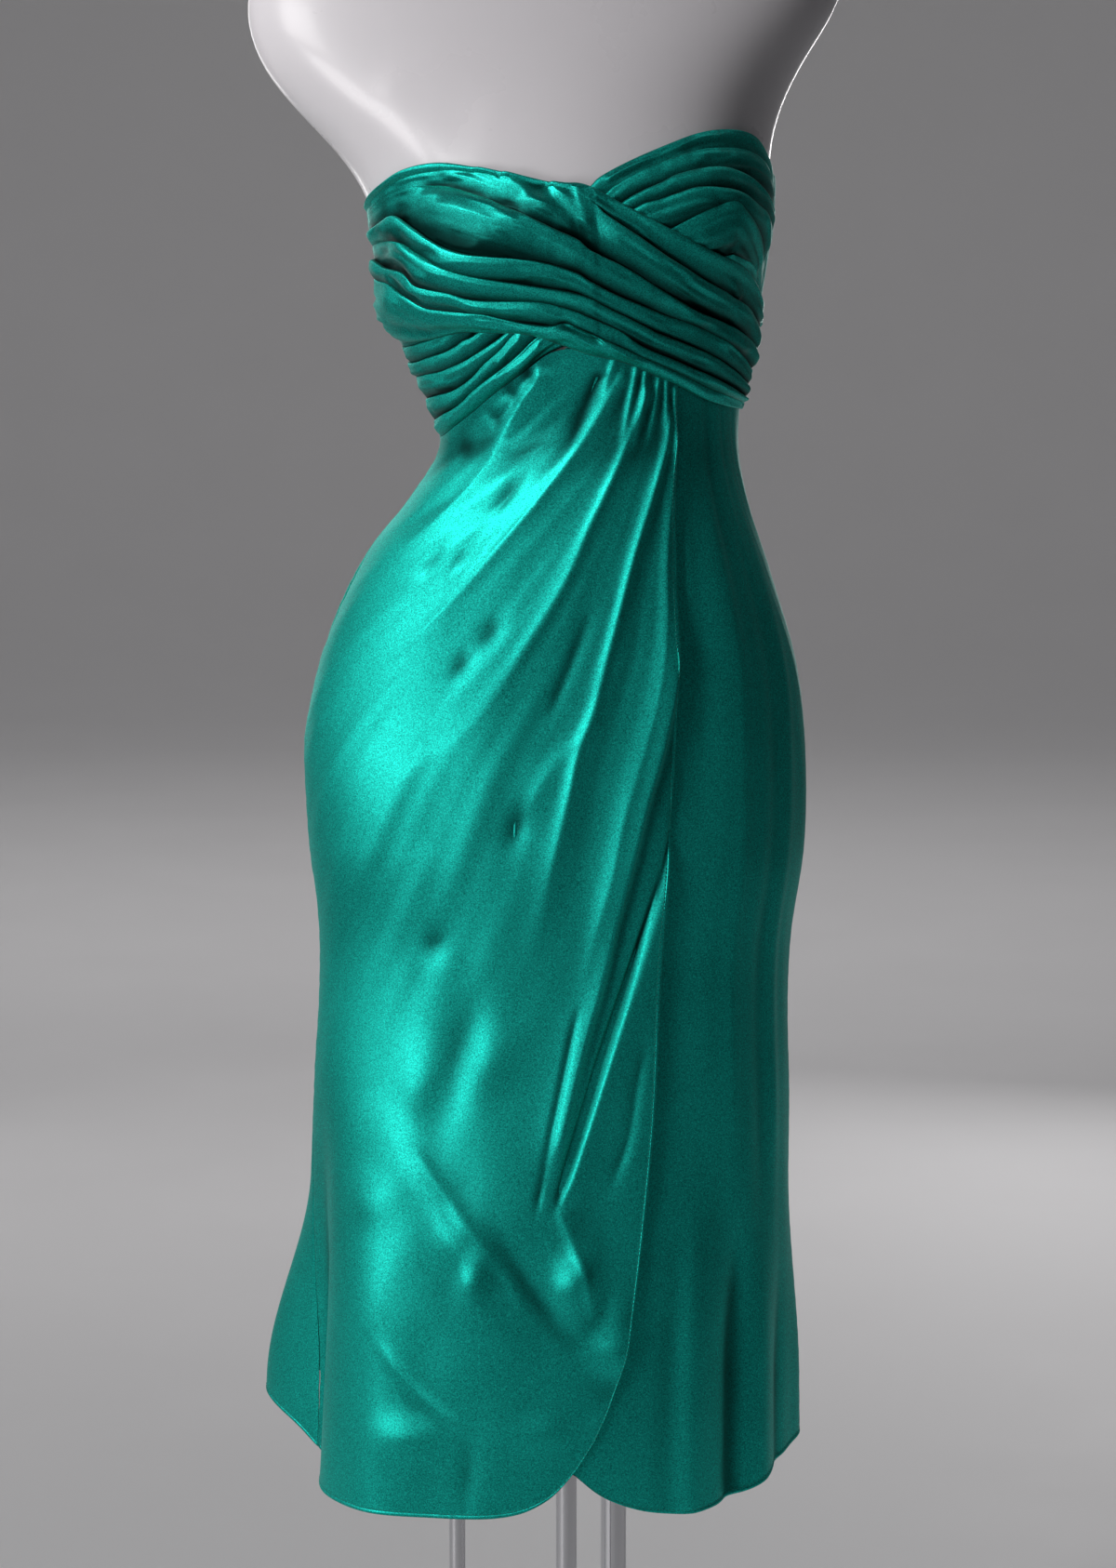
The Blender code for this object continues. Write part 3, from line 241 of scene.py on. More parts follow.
# The long folds that fall from the gathered waist. Each has a thin crest on a soft fold.
LONG_FOLDS = (
    ((10, 1136), (4, 1118), (-3, 1098), (-8, 1084), (-16, 1054), (-22, 1028), (-27, 1004), (-33, 978),
     (-40, 952), (-48, 934), (-58, 918)),
    ((18, 1126), (13, 1104), (8, 1082), (3, 1052), (-1, 1026), (-4, 998), (-8, 972), (-13, 944), (-18, 914),
     (-24, 890), (-31, 872), (-38, 856), (-48, 834)),
    ((25, 1112), (24, 1086), (18, 1044), (13, 1008), (9, 968), (6, 934), (4, 906), (1, 878), (-1, 846),
     (-3, 820), (-6, 780), (-8, 746), (-11, 700)),
)
OVER_SKIRT_RIDGES = (
    # the short folds below the slanting waist
    Ridge(2.6, (7, 9), (2.2, 3), 0.12, 0.35, ((-19, 1140), (-22, 1128), (-29, 1113), (-37, 1096),
          (-41, 1086)), 1.4),
    Ridge(2.0, (10, 14), (6, 8), 0.15, 0.45, ((-34, 1106), (-40, 1088), (-45, 1062), (-49, 1044),
          (-54, 1026), (-60, 1008), (-66, 986)), 1.15),
    Ridge(-2.2, (5, 7), (5, 7), 0.08, 0.45, ((1, 1134), (-4, 1114), (-9, 1096), (-15, 1070))),
    # the long folds, and the folds beside them
    Ridge(1.9, (7, 20), (5, 15), 0.04, 0.25, LONG_FOLDS[0], 1.15),
    Ridge(1.7, (3, 4.5), (3, 4.5), 0.04, 0.30, LONG_FOLDS[0][:-1], 1.5),
    Ridge(2.5, (6, 26), (5, 20), 0.04, 0.30, LONG_FOLDS[1], 1.15),
    Ridge(1.8, (3, 5), (3, 5), 0.04, 0.45, LONG_FOLDS[1][:-3], 1.5),
    Ridge(2.8, (5, 13), (4, 14), 0.04, 0.25, LONG_FOLDS[2], 1.15),
    Ridge(1.7, (3, 4), (3, 4), 0.05, 0.30, LONG_FOLDS[2][:-2], 1.5),
    Ridge(2.6, (4, 11), (4, 15), 0.05, 0.22, ((28, 1100), (27, 1068), (25, 1038), (23, 1004), (22, 970),
          (19, 918), (15, 872), (11, 832), (8, 786), (5, 748), (1, 690)), 1.2),
    Ridge(1.8, (12, 14), (5, 7), 0.25, 0.35, ((6, 918), (3, 892), (0, 880), (-4, 868), (-8, 848),
          (-12, 816)), 1.3),
    Ridge(-1.3, (5, 4), (4, 3), 0.40, 0.25, ((3, 984), (-1, 946), (-4, 918), (-7, 892))),
    # the slanting drag fold below the end of the deep fold
    Ridge(4.0, (15, 17), (20, 24), 0.35, 0.30, ((-52, 640), (-36, 580), (-25, 528), (-18, 490), (-8, 440))),
    # the deep fold beside the free edge, its trough and its far bank
    Ridge(5.5, (2.5, 3), (14, 11), 0.20, 0.10, ((27, 1000), (24, 935), (20, 880), (16, 840), (13, 802),
          (10, 762), (7, 716), (3, 670), (-1, 615), (-4, 566)), 1.4),
    Ridge(-5.0, (6, 4), (3, 2.5), 0.25, 0.10, ((27, 920), (24, 850), (20, 790), (15, 735), (11, 698),
          (7, 662), (3, 620), (0, 588), (-3, 552))),
    Ridge(2.8, (12, 10), (2, 2), 0.20, 0.08, ((23, 850), (19, 774), (15, 720), (11, 678), (6, 630),
          (2, 592), (-2, 556)), 1.4),
    Ridge(-2.0, (5, 5), (5, 5), 0.30, 0.30, ((19, 690), (16, 650), (14, 610), (11, 582), (9, 562))),
    Ridge(-1.8, (2, 2), (2.5, 2), 0.20, 0.15, ((2, 706), (-1, 660), (-4, 612), (-6, 574), (-7, 550))),
    # gathers under the lip
    Ridge(2.6, (2.2, 3), (2.2, 3), 0.02, 0.70, ((6, 1143), (3, 1128), (0, 1112)), 1.4),
    Ridge(2.8, (2.0, 3), (2.0, 3), 0.02, 0.60, ((13, 1136), (11, 1118), (8, 1096), (5, 1076)), 1.4),
    Ridge(2.6, (1.8, 3), (1.8, 3), 0.02, 0.60, ((16, 1133), (15, 1116), (12, 1092), (9, 1070)), 1.4),
    Ridge(2.6, (1.8, 3), (1.8, 3), 0.02, 0.60, ((21, 1128), (20, 1112), (18, 1094), (15, 1076)), 1.4),
    Ridge(2.6, (1.6, 3), (1.6, 3), 0.02, 0.60, ((24, 1126), (24, 1108), (23, 1090)), 1.4),
    Ridge(2.4, (1.6, 2), (1.6, 2), 0.02, 0.50, ((27.5, 1122), (27.5, 1100), (27, 1060)), 1.4),
    Ridge(2.2, (4, 3), (3.5, 3), 0.3, 0.3, ((-3, 566), (1, 540), (5, 512), (7, 478)), 1.5),
    Ridge(1.8, (4, 4), (4, 3), 0.3, 0.3, ((-28, 566), (-21, 542), (-13, 514), (-7, 484)), 1.5),
    Ridge(1.5, (4, 3), (4, 3), 0.3, 0.3, ((-38, 604), (-30, 574), (-21, 546)), 1.5),
    Ridge(1.3, (4, 3), (4, 3), 0.3, 0.3, ((-44, 470), (-36, 440), (-25, 414), (-16, 398)), 1.5),
)
UNDER_SKIRT_RIDGES = (
    Ridge(2.6, (22, 24), (14, 18), 0.20, 0.30, ((38, 1070), (37, 900), (36, 700), (40, 500))),
    Ridge(1.6, (16, 18), (16, 18), 0.25, 0.30, ((52, 1040), (50, 860), (49, 640), (52, 460))),
    Ridge(1.9, (6, 10), (8, 12), 0.12, 0.30, ((43, 1080), (43, 900), (43, 700), (46, 480)), 1.5),
    Ridge(-1.4, (7, 8), (7, 8), 0.20, 0.30, ((57, 1060), (55, 860), (55, 640), (58, 460))),
    Ridge(1.5, (6, 7), (7, 8), 0.20, 0.30, ((66, 1050), (63, 860), (63, 640), (65, 460))),
)
# The flutes of the hem, which run out over its edge: rise, widths, fade, path and the
# angle at which it ends.
FLUTES_END = 345
HEM_RIDGES = tuple(Ridge(out, left, right, fade, 0.0, path + ((end, FLUTES_END),))
                   for out, left, right, fade, path, end in (
    (8.0, (34, 34), (30, 30), 0.60, ((-46, 640), (-44, 500)), -42),
    (-28.0, (26, 44), (24, 32), 0.80, ((-74, 660), (-80, 560), (-85, 450)), -87),
    (30.0, (24, 26), (24, 26), 0.75, ((-103, 560), (-108, 470)), -111),
    (6.0, (18, 18), (12, 12), 0.60, ((33, 600), (32, 470)), 31),
    (-7.0, (10, 10), (10, 10), 0.60, ((47, 560), (46, 450)), 45),
    (4.0, (14, 14), (14, 14), 0.60, ((58, 560), (57, 450)), 56),
    (-3.0, (9, 9), (9, 9), 0.60, ((69, 520), (68, 450)), 67),
    (8.0, (16, 16), (16, 16), 0.70, ((86, 560), (86, 470)), 86),
    (-6.0, (24, 24), (24, 24), 0.60, ((110, 640), (109, 480)), 108),
    (8.0, (26, 26), (26, 26), 0.60, ((131, 700), (130, 500)), 129),
    (6.0, (24, 24), (24, 24), 0.60, ((160, 560), (161, 450)), 162),
    (8.0, (26, 26), (26, 26), 0.60, ((-146, 680), (-147, 500)), -148),
    (-5.0, (22, 22), (22, 22), 0.60, ((-125, 620), (-126, 480)), -127),
))
BACK_SKIRT_RIDGES = (
    Ridge(2.2, (12, 20), (8, 16), 0.20, 0.40, ((176, 1060), (150, 1020), (128, 960), (112, 890))),
    Ridge(2.0, (12, 20), (8, 16), 0.20, 0.40, ((-176, 1052), (-152, 1004), (-132, 950), (-118, 880))),
    Ridge(1.8, (14, 22), (12, 20), 0.30, 0.30, ((150, 900), (146, 800), (148, 680))),
    Ridge(1.8, (14, 22), (12, 20), 0.30, 0.30, ((-160, 880), (-158, 760), (-162, 640))),
)
BACK_BODICE_RIDGES = (
    Ridge(1.2, (6, 8), (4, 6), 0.20, 0.30, ((76, 1214), (100, 1206), (124, 1200), (150, 1204))),
    Ridge(1.0, (5, 7), (4, 6), 0.20, 0.30, ((78, 1162), (102, 1150), (130, 1142), (158, 1146))),
    Ridge(1.2, (6, 8), (4, 6), 0.20, 0.30, ((-94, 1210), (-112, 1200), (-136, 1194), (-158, 1198))),
    Ridge(1.0, (5, 7), (4, 6), 0.20, 0.30, ((-94, 1150), (-116, 1138), (-140, 1130), (-164, 1136))),
)

# A swell is a soft round rise, or a dip where out is negative, leaning by turn
# degrees from upright towards the wearer's left.
Swell = namedtuple("Swell", "out wide tall angle height turn")
OVER_SKIRT_SWELLS = (
    Swell(-0.9, 7, 5, -24, 1130, 0),
    Swell(-0.9, 8, 5, -32, 1118, 10),
    Swell(-0.9, 10, 6, -42, 1102, 10),
    Swell(-0.7, 16, 10, -60, 1078, 10),
    Swell(-2.2, 8, 15, -31, 1046, 35),
    Swell(-1.8, 8, 11, -47, 995, 30),
    Swell(-1.5, 6, 10, -37, 1000, 30),
    Swell(-2.2, 8, 14, -22, 952, 25),
    Swell(-1.8, 7, 11, -28, 930, 25),
    Swell(-1.8, 7, 15, -13, 822, 16),
    Swell(-1.4, 9, 12, -34, 740, 20),
    Swell(-3.2, 15, 42, -27, 664, 6),
    Swell(2.0, 16, 24, -38, 640, 10),
    Swell(1.8, 15, 26, -18, 664, 20),
    Swell(2.2, 18, 22, -24, 540, 25),
    Swell(7.5, 13, 26, 3, 508, 8),
    Swell(6.0, 19, 17, 13, 458, 40),
    Swell(3.0, 9, 22, -20, 512, 14),
    Swell(-2.2, 9, 40, -7, 500, -36),
    Swell(1.6, 20, 16, -34, 392, 0),
    Swell(1.6, 18, 16, -50, 560, 0),
    Swell(1.4, 10, 16, 13, 486, 0),
    Swell(-1.6, 30, 8, -20, 374, 90),
    Swell(1.6, 20, 14, -34, 400, 0),
    Swell(1.4, 18, 12, -4, 404, 0),
)


# -------------------------------------------------------------------- the figure
def column(height, field):
    """One field of RINGS at these heights, as a smooth curve through the rows."""
    levels = RING_TABLE[:, 0]
    values = RING_TABLE[:, Ring._fields.index(field)]
    step = np.diff(levels)
    rate = np.diff(values) / step
    slope = np.empty_like(values)
    slope[1:-1] = (step[1:] * rate[:-1] + step[:-1] * rate[1:]) / (step[1:] + step[:-1])
    slope[0], slope[-1] = rate[0], rate[-1]
    row = np.clip(np.searchsorted(levels, height) - 1, 0, len(levels) - 2)
    t = np.clip((height - levels[row]) / step[row], 0.0, 1.0)
    return ((2 * t ** 3 - 3 * t ** 2 + 1) * values[row]
            + (t ** 3 - 2 * t ** 2 + t) * step[row] * slope[row]
            + (3 * t ** 2 - 2 * t ** 3) * values[row + 1]
            + (t ** 3 - t ** 2) * step[row] * slope[row + 1])


def figure(angle, height):
    """Points of the figure, with no cloth on it."""
    turn = np.radians(angle)
    side, ahead = np.sin(turn), np.cos(turn)
    front, back = column(height, "front"), column(height, "back")
    bust = sum(cup.out * np.exp(-((angle - cup.angle) / cup.spread) ** 2
                                - ((height - cup.height) / cup.rise) ** 2) for cup in CUPS)
    across = (column(height, "half_width") + bust) * side
    depth = (front + back) / 2 * ahead + (front - back) / 2 * ahead ** 2 + bust * ahead
    return np.stack([column(height, "centre_x") + across, column(height, "centre_y") - depth,
                     height + column(height, "tilt") * across], axis=-1)


def unit(ways):
    """The same ways, each with a length of one."""
    return ways / np.linalg.norm(ways, axis=-1, keepdims=True)


def outward(angle, height):
    """Unit normals of the figure, pointing out."""
    round_step = figure(angle + 0.5, height) - figure(angle - 0.5, height)
    up_step = figure(angle, height + 1.0) - figure(angle, height - 1.0)
    return unit(np.cross(round_step, up_step))


def ease(t):
    """0 below 0, 1 above 1 and smooth between."""
    t = np.clip(t, 0.0, 1.0)
    return t * t * (3 - 2 * t)


def fine_path(points):
    """Many places on a smooth curve through the points."""
    points = np.array(points, dtype=float)
    ends = np.vstack([2 * points[0] - points[1], points, 2 * points[-1] - points[-2]])
    fine = []
    for i in range(1, len(ends) - 2):
        before, start, end, after = ends[i - 1:i + 3]
        for t in np.linspace(0.0, 1.0, CURVE_STEPS, endpoint=False):
            fine.append(0.5 * (2 * start + (end - before) * t
                               + (2 * before - 5 * start + 4 * end - after) * t ** 2
                               + (3 * start - before - 3 * end + after) * t ** 3))
    return np.array(fine + [points[-1]])


def lengths_along(line):
    """How far along a line of points each of them lies."""
    return np.concatenate([[0.0], np.cumsum(np.linalg.norm(np.diff(line, axis=0), axis=1))])


def at_lengths(line, length, where):
    """Points of a line at these lengths along it."""
    return np.stack([np.interp(where, length, part) for part in line.T], axis=-1)


def smooth_path(points, share):
    """Places at these shares of the way along a smooth curve through the points."""
    fine = fine_path(points)
    length = lengths_along(fine * (DEGREE_AT_BUST, 1.0))
    return at_lengths(fine, length, np.asarray(share) * length[-1])


def heights_along(points, angles):
    """Heights, at these angles, of the smooth curve through (angle, height) points."""
    fine = fine_path(points if points[0][0] < points[-1][0] else points[::-1])
    return np.interp(angles, fine[:, 0], fine[:, 1])


# ------------------------------------------------------------- folds and creases
def ridge_rise(base, normal, ridge):
    """How far a ridge lifts the cloth at these points of the figure."""
    places = smooth_path(ridge.path, np.linspace(0.0, 1.0, SPINE_POINTS))
    spine = figure(places[:, 0], places[:, 1])
    reach = RIDGE_REACH * max(*ridge.left, *ridge.right)
    low, high = spine.min(axis=0) - reach, spine.max(axis=0) + reach
    near = np.flatnonzero(((base > low) & (base < high)).all(axis=1))
    rise = np.zeros(len(base))
    if not len(near):
        return rise
    start, run = spine[:-1], np.diff(spine, axis=0)
    to_point = base[near][:, None, :] - start[None, :, :]
    along = np.clip((to_point * run).sum(axis=2) / (run * run).sum(axis=1), 0.0, 1.0)
    gap = to_point - along[:, :, None] * run
    distance = np.linalg.norm(gap, axis=2)
    nearest = distance.argmin(axis=1)
    rows = np.arange(len(near))
    left_way = np.cross(normal[near], run[nearest])
    on_left = (gap[rows, nearest] * left_way).sum(axis=1) > 0
    share = (nearest + along[rows, nearest]) / len(run)
    left = ridge.left[0] + (ridge.left[1] - ridge.left[0]) * share
    right = ridge.right[0] + (ridge.right[1] - ridge.right[0]) * share
    fade = np.ones(len(near))
    for way, part in ((share, ridge.fade_in), (1 - share, ridge.fade_out)):
        if part:
            fade *= ease(way / part)
    width = np.where(on_left, left, right)
    rise[near] = ridge.out * fade * np.exp(-(distance[rows, nearest] / width) ** ridge.power)
    return rise


def swell_rise(angle, height, swell):
    """How far a swell lifts the cloth at these places."""
    across, up = (angle - swell.angle) * DEGREE_AT_HIP, height - swell.height
    c, s = cos(radians(swell.turn)), sin(radians(swell.turn))
    u, v = across * c - up * s, across * s + up * c
    return swell.out * np.exp(-(u / swell.wide) ** 2 - (v / swell.tall) ** 2)


# Ripples that fan out from a gathered place: rise, ripples to a radian of the fan, and
# how much each leans over with distance.
RIPPLES = ((0.40, 17, 0.5), (0.34, 29, -0.7), (0.26, 47, 0.9), (0.16, 83, -1.3), (0.10, 131, 1.9))
RIPPLES_FULL = 260      # the ripples reach their full rise this far from the gathered place


def drag_ripples(angle, height, gather):
    """Faint uneven ripples in the cloth that spread out from a gathered place."""
    across, down = (angle - gather[0]) * DEGREE_AT_HIP, gather[1] - height
    turn = np.arctan2(across, np.maximum(down, 1.0) + 40)
    far = np.hypot(across, down)
    rise = 0.0
    for seed, (size, pitch, lean) in enumerate(RIPPLES, 1):
        wander = 0.9 * np.sin(far * 0.006 * seed + turn * 3)
        rise = rise + size * np.sin(pitch * turn + lean * far / 100 + 1.7 * seed + wander)
    return rise * ease(far / RIPPLES_FULL) * (0.7 + 0.3 * np.sin(far * 0.011 + 5 * turn))


# Upright seams: angle, and the heights between which the stitching puckers the cloth.
SEAMS = ((180, ZIP_BOTTOM - 20, 1300), (SKIRT_LEFT_SIDE, 300, 1105), (RIGHT_SIDE, 300, 1300),
         (LEFT_SIDE, 1106, 1300))
PUCKER_RISE = 0.16
PUCKER_WIDTH = 9
PUCKER_FADE = 20


def seam_puckers(angle, height):
    """Small puckers that the stitching draws up along the zip and the side seams."""
    rise = np.zeros_like(angle)
    for seam, low, high in SEAMS:
        away = np.abs((angle - seam + 180) % 360 - 180) * DEGREE_AT_SEAM
        wave = np.sin(height * 0.42 + 1.3 * np.sin(height * 0.071) + seam)
        wave = wave + 0.5 * np.sin(height * 0.83 + 2 * seam)
        ends = ease((height - low) / PUCKER_FADE) * ease((high - height) / PUCKER_FADE)
        rise += PUCKER_RISE * wave * np.exp(-away / PUCKER_WIDTH) * ends
    return rise


# A band of a wrap, from where it is tucked in behind the crest below it up to its
# own crest: share of the way up, and share of the rise.
BAND = (
    (0.00, 0.03), (0.04, 0.10), (0.09, 0.22), (0.15, 0.36), (0.22, 0.50), (0.30, 0.65), (0.38, 0.78),
    (0.46, 0.88), (0.54, 0.95), (0.62, 0.99), (0.70, 1.00), (0.78, 0.98), (0.85, 0.93), (0.91, 0.86),
    (0.95, 0.80), (0.98, 0.72), (1.00, 0.58))
# The way down behind the crest: share of the tuck's depth, and share of the rise.
TUCK = ((0.12, 0.36), (0.50, 0.14))
# How deep in painted shade a row lies, by its share of the way up a band.
BAND_SHADE = ((0.0, 1.0), (0.12, 0.97), (0.30, 0.80), (0.48, 0.52), (0.66, 0.22), (0.82, 0.04), (1.0, 0.0))
# Fine folds between two crests: rise, distance from one to the next, and drift.
FINE_FOLDS = ((0.60, 9.5, 1.0), (0.35, 5.7, -1.4))
FULL_SHADE = 5.0        # a crest that stands out this far keeps the row below in full painted shade


def waver(angles, seed):
    """A slow, uneven swing between -1 and 1 along a pleat."""
    return (0.55 * np.sin(angles * 0.083 + 1.9 * seed) + 0.30 * np.sin(angles * 0.19 + 3.1 * seed)
            + 0.15 * np.sin(angles * 0.41 + 5.3 * seed))


def pleated_rows(bottom, top, pleats, angles, edge_rise):
    """Places, rises and painted shade of a wrap's rows. The cloth above each crest starts tucked in behind
    it.
    """
    share = (angles - angles[0]) / (angles[-1] - angles[0])
    lines = [heights_along(path, angles) for path in [bottom] + [pleat.line for pleat in pleats] + [top]]
    rises = [np.zeros_like(angles)]
    for seed, pleat in enumerate(pleats, 1):
        fade = ease((share - pleat.from_right) / (pleat.full_right - pleat.from_right))
        fade = fade * ease((1 - share) / pleat.fade_left)
        lines[seed] = lines[seed] + 0.6 * fade * waver(angles, seed)
        rises.append(pleat.rise * fade * (1 + 0.14 * waver(angles, seed + 20)))
    rises.append(edge_rise * ease(share / 0.03) * ease((1 - share) / 0.03))
    rows = []
    tuck = np.zeros_like(angles)
    for i in range(1, len(lines)):
        room = lines[i] - lines[i - 1]
        below = np.clip(rises[i - 1] / FULL_SHADE, 0.0, 1.0)
        strength = (0.25 + 0.75 * ease(0.5 + 1.3 * waver(angles, i + 60))) * np.clip(room / 16, 0.0, 1.3)
        drift = 2.2 * waver(angles, i + 40) + 1.9 * i
        for up, out in BAND:
            height = lines[i - 1] - tuck + (room + tuck) * up
            down = lines[i] - height
            fine = sum(size * np.sin(2 * pi * down / pitch + lean * drift)
                       for size, pitch, lean in FINE_FOLDS)
            fine = fine * strength * ease((up - 0.02) / 0.2) * ease((1 - up) / 0.15)
            # painted shade, deepest at the bottom of a band, where it is tucked in behind the crest below
            shade = np.interp(up, *np.array(BAND_SHADE).T) * below
            rows.append((height, rises[i] * out + fine, shade))
        if i < len(pleats) + 1:
            tuck = np.minimum(0.9 * rises[i], 0.4 * room)
            for down, out in TUCK:
                rows.append((lines[i] - tuck * down, rises[i] * out,
                             np.clip(rises[i] / FULL_SHADE, 0.0, 1.0)))
    places = np.array([np.stack([angles, row[0]], axis=-1) for row in rows])
    return places, np.array([row[1] for row in rows]), np.array([row[2] for row in rows])


def patch(bottom, top, left, right, columns, rows, crowd=1.0):
    """Places of a grid spread between four edges that meet at their ends."""
    across = 1 - (1 - np.linspace(0.0, 1.0, columns + 1)) ** crowd
    upward = np.linspace(0.0, 1.0, rows + 1)
    low, high = smooth_path(bottom, across), smooth_path(top, across)
    near, far = smooth_path(left, upward), smooth_path(right, upward)
    u = across[None, :, None]
    v = upward[:, None, None]
    corners = ((1 - u) * (1 - v) * low[0] + u * (1 - v) * low[-1] + (1 - u) * v * high[0] + u * v * high[-1])
    return (1 - v) * low[None] + v * high[None] + (1 - u) * near[:, None] + u * far[:, None] - corners


def straight(start, end):
    """An edge between two places, with a point in the middle."""
    return (start, ((start[0] + end[0]) / 2, (start[1] + end[1]) / 2), end)


# ------------------------------------------------------------------- cloth pieces
def drape(places, lift, ridges, swells, hanging=False, gather=None):
    """Outer points of the cloth over a grid of places, and the ways straight out of it."""
    angle, height = places[..., 0].ravel(), places[..., 1].ravel()
    base = figure(angle, height)
    normal = outward(angle, height)
    out = lift.ravel() + CLOTH + seam_puckers(angle, height)
    if gather:
        out = out + drag_ripples(angle, height, gather)
    for ridge in ridges:
        out = out + ridge_rise(base, normal, ridge)
    for swell in swells:
        out = out + swell_rise(angle, height, swell)
    shape = places.shape[:2] + (3,)
    outer, normal = (base + normal * out[:, None]).reshape(shape), normal.reshape(shape)
    if hanging:
        way = np.cross(np.gradient(outer, axis=1), np.gradient(outer, axis=0))
        normal = unit(way * np.sign((way * normal).sum(axis=2, keepdims=True)))
    return outer, normal


def blurred(grid, reach, rounds=2):
    """A grid of values or points, each averaged with its neighbours up to reach steps away."""
    for axis in (0, 1) * rounds:
        pad = [(0, 0)] * grid.ndim
        pad[axis] = (reach, reach)
        wide = np.cumsum(np.pad(grid, pad, mode="edge"), axis=axis)
        wide = np.insert(wide, 0, 0.0, axis=axis)
        span = 2 * reach + 1
        count = grid.shape[axis]
        upper = np.take(wide, np.arange(span, span + count), axis=axis)
        grid = (upper - np.take(wide, np.arange(count), axis=axis)) / span
    return grid


def painted_crease_shade(outer, normal):
    """How deep in painted shade each point of the cloth lies, by how far down in a crease it is: 0 on a
    crest, 1 in the deepest.
    """
    hollow = sum(share * ((blurred(outer, reach) - outer) * normal).sum(axis=2)
                 for share, reach in ((1.0, 2), (0.6, 5)))
    return blurred(np.clip(hollow / CREASE_DEEP - 0.06, 0.0, 0.7), 1, 1)


def cloth_piece(name, outer, normal, thick, material, painted_shade=None, upright=False):
    """A closed thin shell of cloth, with a map that follows the thread, and painted shade that darkens it
    deep in its creases and on its inner face.
    """
    rows, columns = outer.shape[:2]
    flip = np.cross(outer[0, 1] - outer[0, 0], outer[1, 0] - outer[0, 0]) @ normal[0, 0] < 0
    inner = outer - normal * thick
    points = np.vstack([outer.reshape(-1, 3), inner.reshape(-1, 3)]) * MM
    index = np.arange(rows * columns).reshape(rows, columns)
    quads = []
    for first, turn in ((0, flip), (rows * columns, not flip)):
        a = index[:-1, :-1].ravel() + first
        cell = np.stack([a, a + 1, a + columns + 1, a + columns], axis=1)
        quads.append(cell[:, ::-1] if turn else cell)
    rim = np.concatenate([index[0, :-1], index[:-1, -1], index[-1, :0:-1], index[:0:-1, 0]])
    after = np.roll(rim, -1)
    wall = np.stack([after, rim, rim + rows * columns, after + rows * columns], axis=1)
    quads.append(wall[:, ::-1] if flip else wall)
    mesh = bpy.data.meshes.new(name)
    mesh.from_pydata(points.tolist(), [], np.vstack(quads).tolist())
    step_across, step_up = grid_steps(outer)
    across = np.concatenate([np.zeros((rows, 1)), np.cumsum(step_across, axis=1)], axis=1)
    upward = np.concatenate([np.zeros((1, columns)), np.cumsum(step_up, axis=0)], axis=0)
    if upright:
        upward = outer[..., 2]
    flat = np.stack([across.ravel(), upward.ravel()], axis=1)
    thread_map(mesh, np.vstack([flat, flat]))
    if painted_shade is None:
        painted_shade = painted_crease_shade(outer, normal)
    # painted shade: how far the colour is darkened at each point, deep in the creases and on the inner face
    depth = mesh.attributes.new("painted_shade", 'FLOAT', 'POINT')
    depth.data.foreach_set("value", np.concatenate([painted_shade.ravel(), np.full(painted_shade.size, INSIDE_SHADE)]))
    mesh.materials.append(material)
    mesh.shade_smooth()
    mesh.set_sharp_from_angle(angle=radians(CLOTH_SHARP))
    return new_object(name, mesh)


def grid_steps(outer):
    """Lengths of a grid's steps across and up."""
    return (np.linalg.norm(np.diff(outer, axis=1), axis=2), np.linalg.norm(np.diff(outer, axis=0), axis=2))


def thread_map(mesh, flat):
    """Map the mesh along its thread, from a flat place in millimetres for each point."""
    layer = mesh.uv_layers.new(name="thread")
    corner = np.empty(len(mesh.loops), dtype=np.int32)
    mesh.loops.foreach_get("vertex_index", corner)
    layer.data.foreach_set("uv", (flat[corner] * MM).ravel())


def new_object(name, data):
    """An object of this mesh, light or camera, in the scene."""
    piece = bpy.data.objects.new(name, data)
    bpy.context.scene.collection.objects.link(piece)
    return piece


def declare(piece, node):
    """Hide the node that a piece of cloth replaces, and tie the piece to what it moves with."""
    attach(piece, WORN)
    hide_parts(node)


OVER_WRAP_TOP = (
    (-92, 1257), (-80, 1266), (-66, 1273), (-52, 1280), (-40, 1281), (-30, 1275), (-20, 1267), (-8, 1257),
    (-1, 1253), (9, 1238), (25, 1216), (36, 1204), (50, 1193), (60, 1182), (74, 1166))
OVER_WRAP_BOTTOM = (
    (-92, 1168), (-75, 1162), (-59, 1162), (-43, 1166), (-32, 1164), (-21, 1161), (-11, 1152), (-2, 1144),
    (8, 1138), (19, 1128), (29, 1120), (43, 1110), (58, 1105), (74, 1103))
UNDER_WRAP_TOP = (
    (74, 1252), (66, 1266), (58, 1276), (50, 1281), (40, 1283), (31, 1281), (20, 1274), (11, 1267),
    (3, 1259), (-1, 1252), (-14, 1236), (-34, 1212), (-62, 1190), (-92, 1178))
WAIST_RIGHT = ((-92, 1086), (-76, 1090), (-55, 1104), (-39, 1120), (-26, 1134), (-14, 1148))
UNDER_WRAP_BOTTOM = (
    (74, 1158), (58, 1160), (42, 1165), (26, 1165), (12, 1160), (0, 1154)) + WAIST_RIGHT[::-1]
OVER_SKIRT_TOP = tuple((angle, height - SEAM_GAP) for angle, height in WAIST_RIGHT) + (
    (-2, 1148), (8, 1142), (19, 1132), (29, 1124))
OVER_SKIRT_HEM = (
    (-92, 362), (-82, 353), (-68, 348), (-55, 345), (-30, 344), (-12, 346), (-3, 356), (3, 374), (8, 398))
OVER_SKIRT_FREE_EDGE = (
    (8, 398), (12, 428), (16, 478), (19, 570), (21, 660), (22, 780), (24, 920), (27, 1030), (29, 1124))
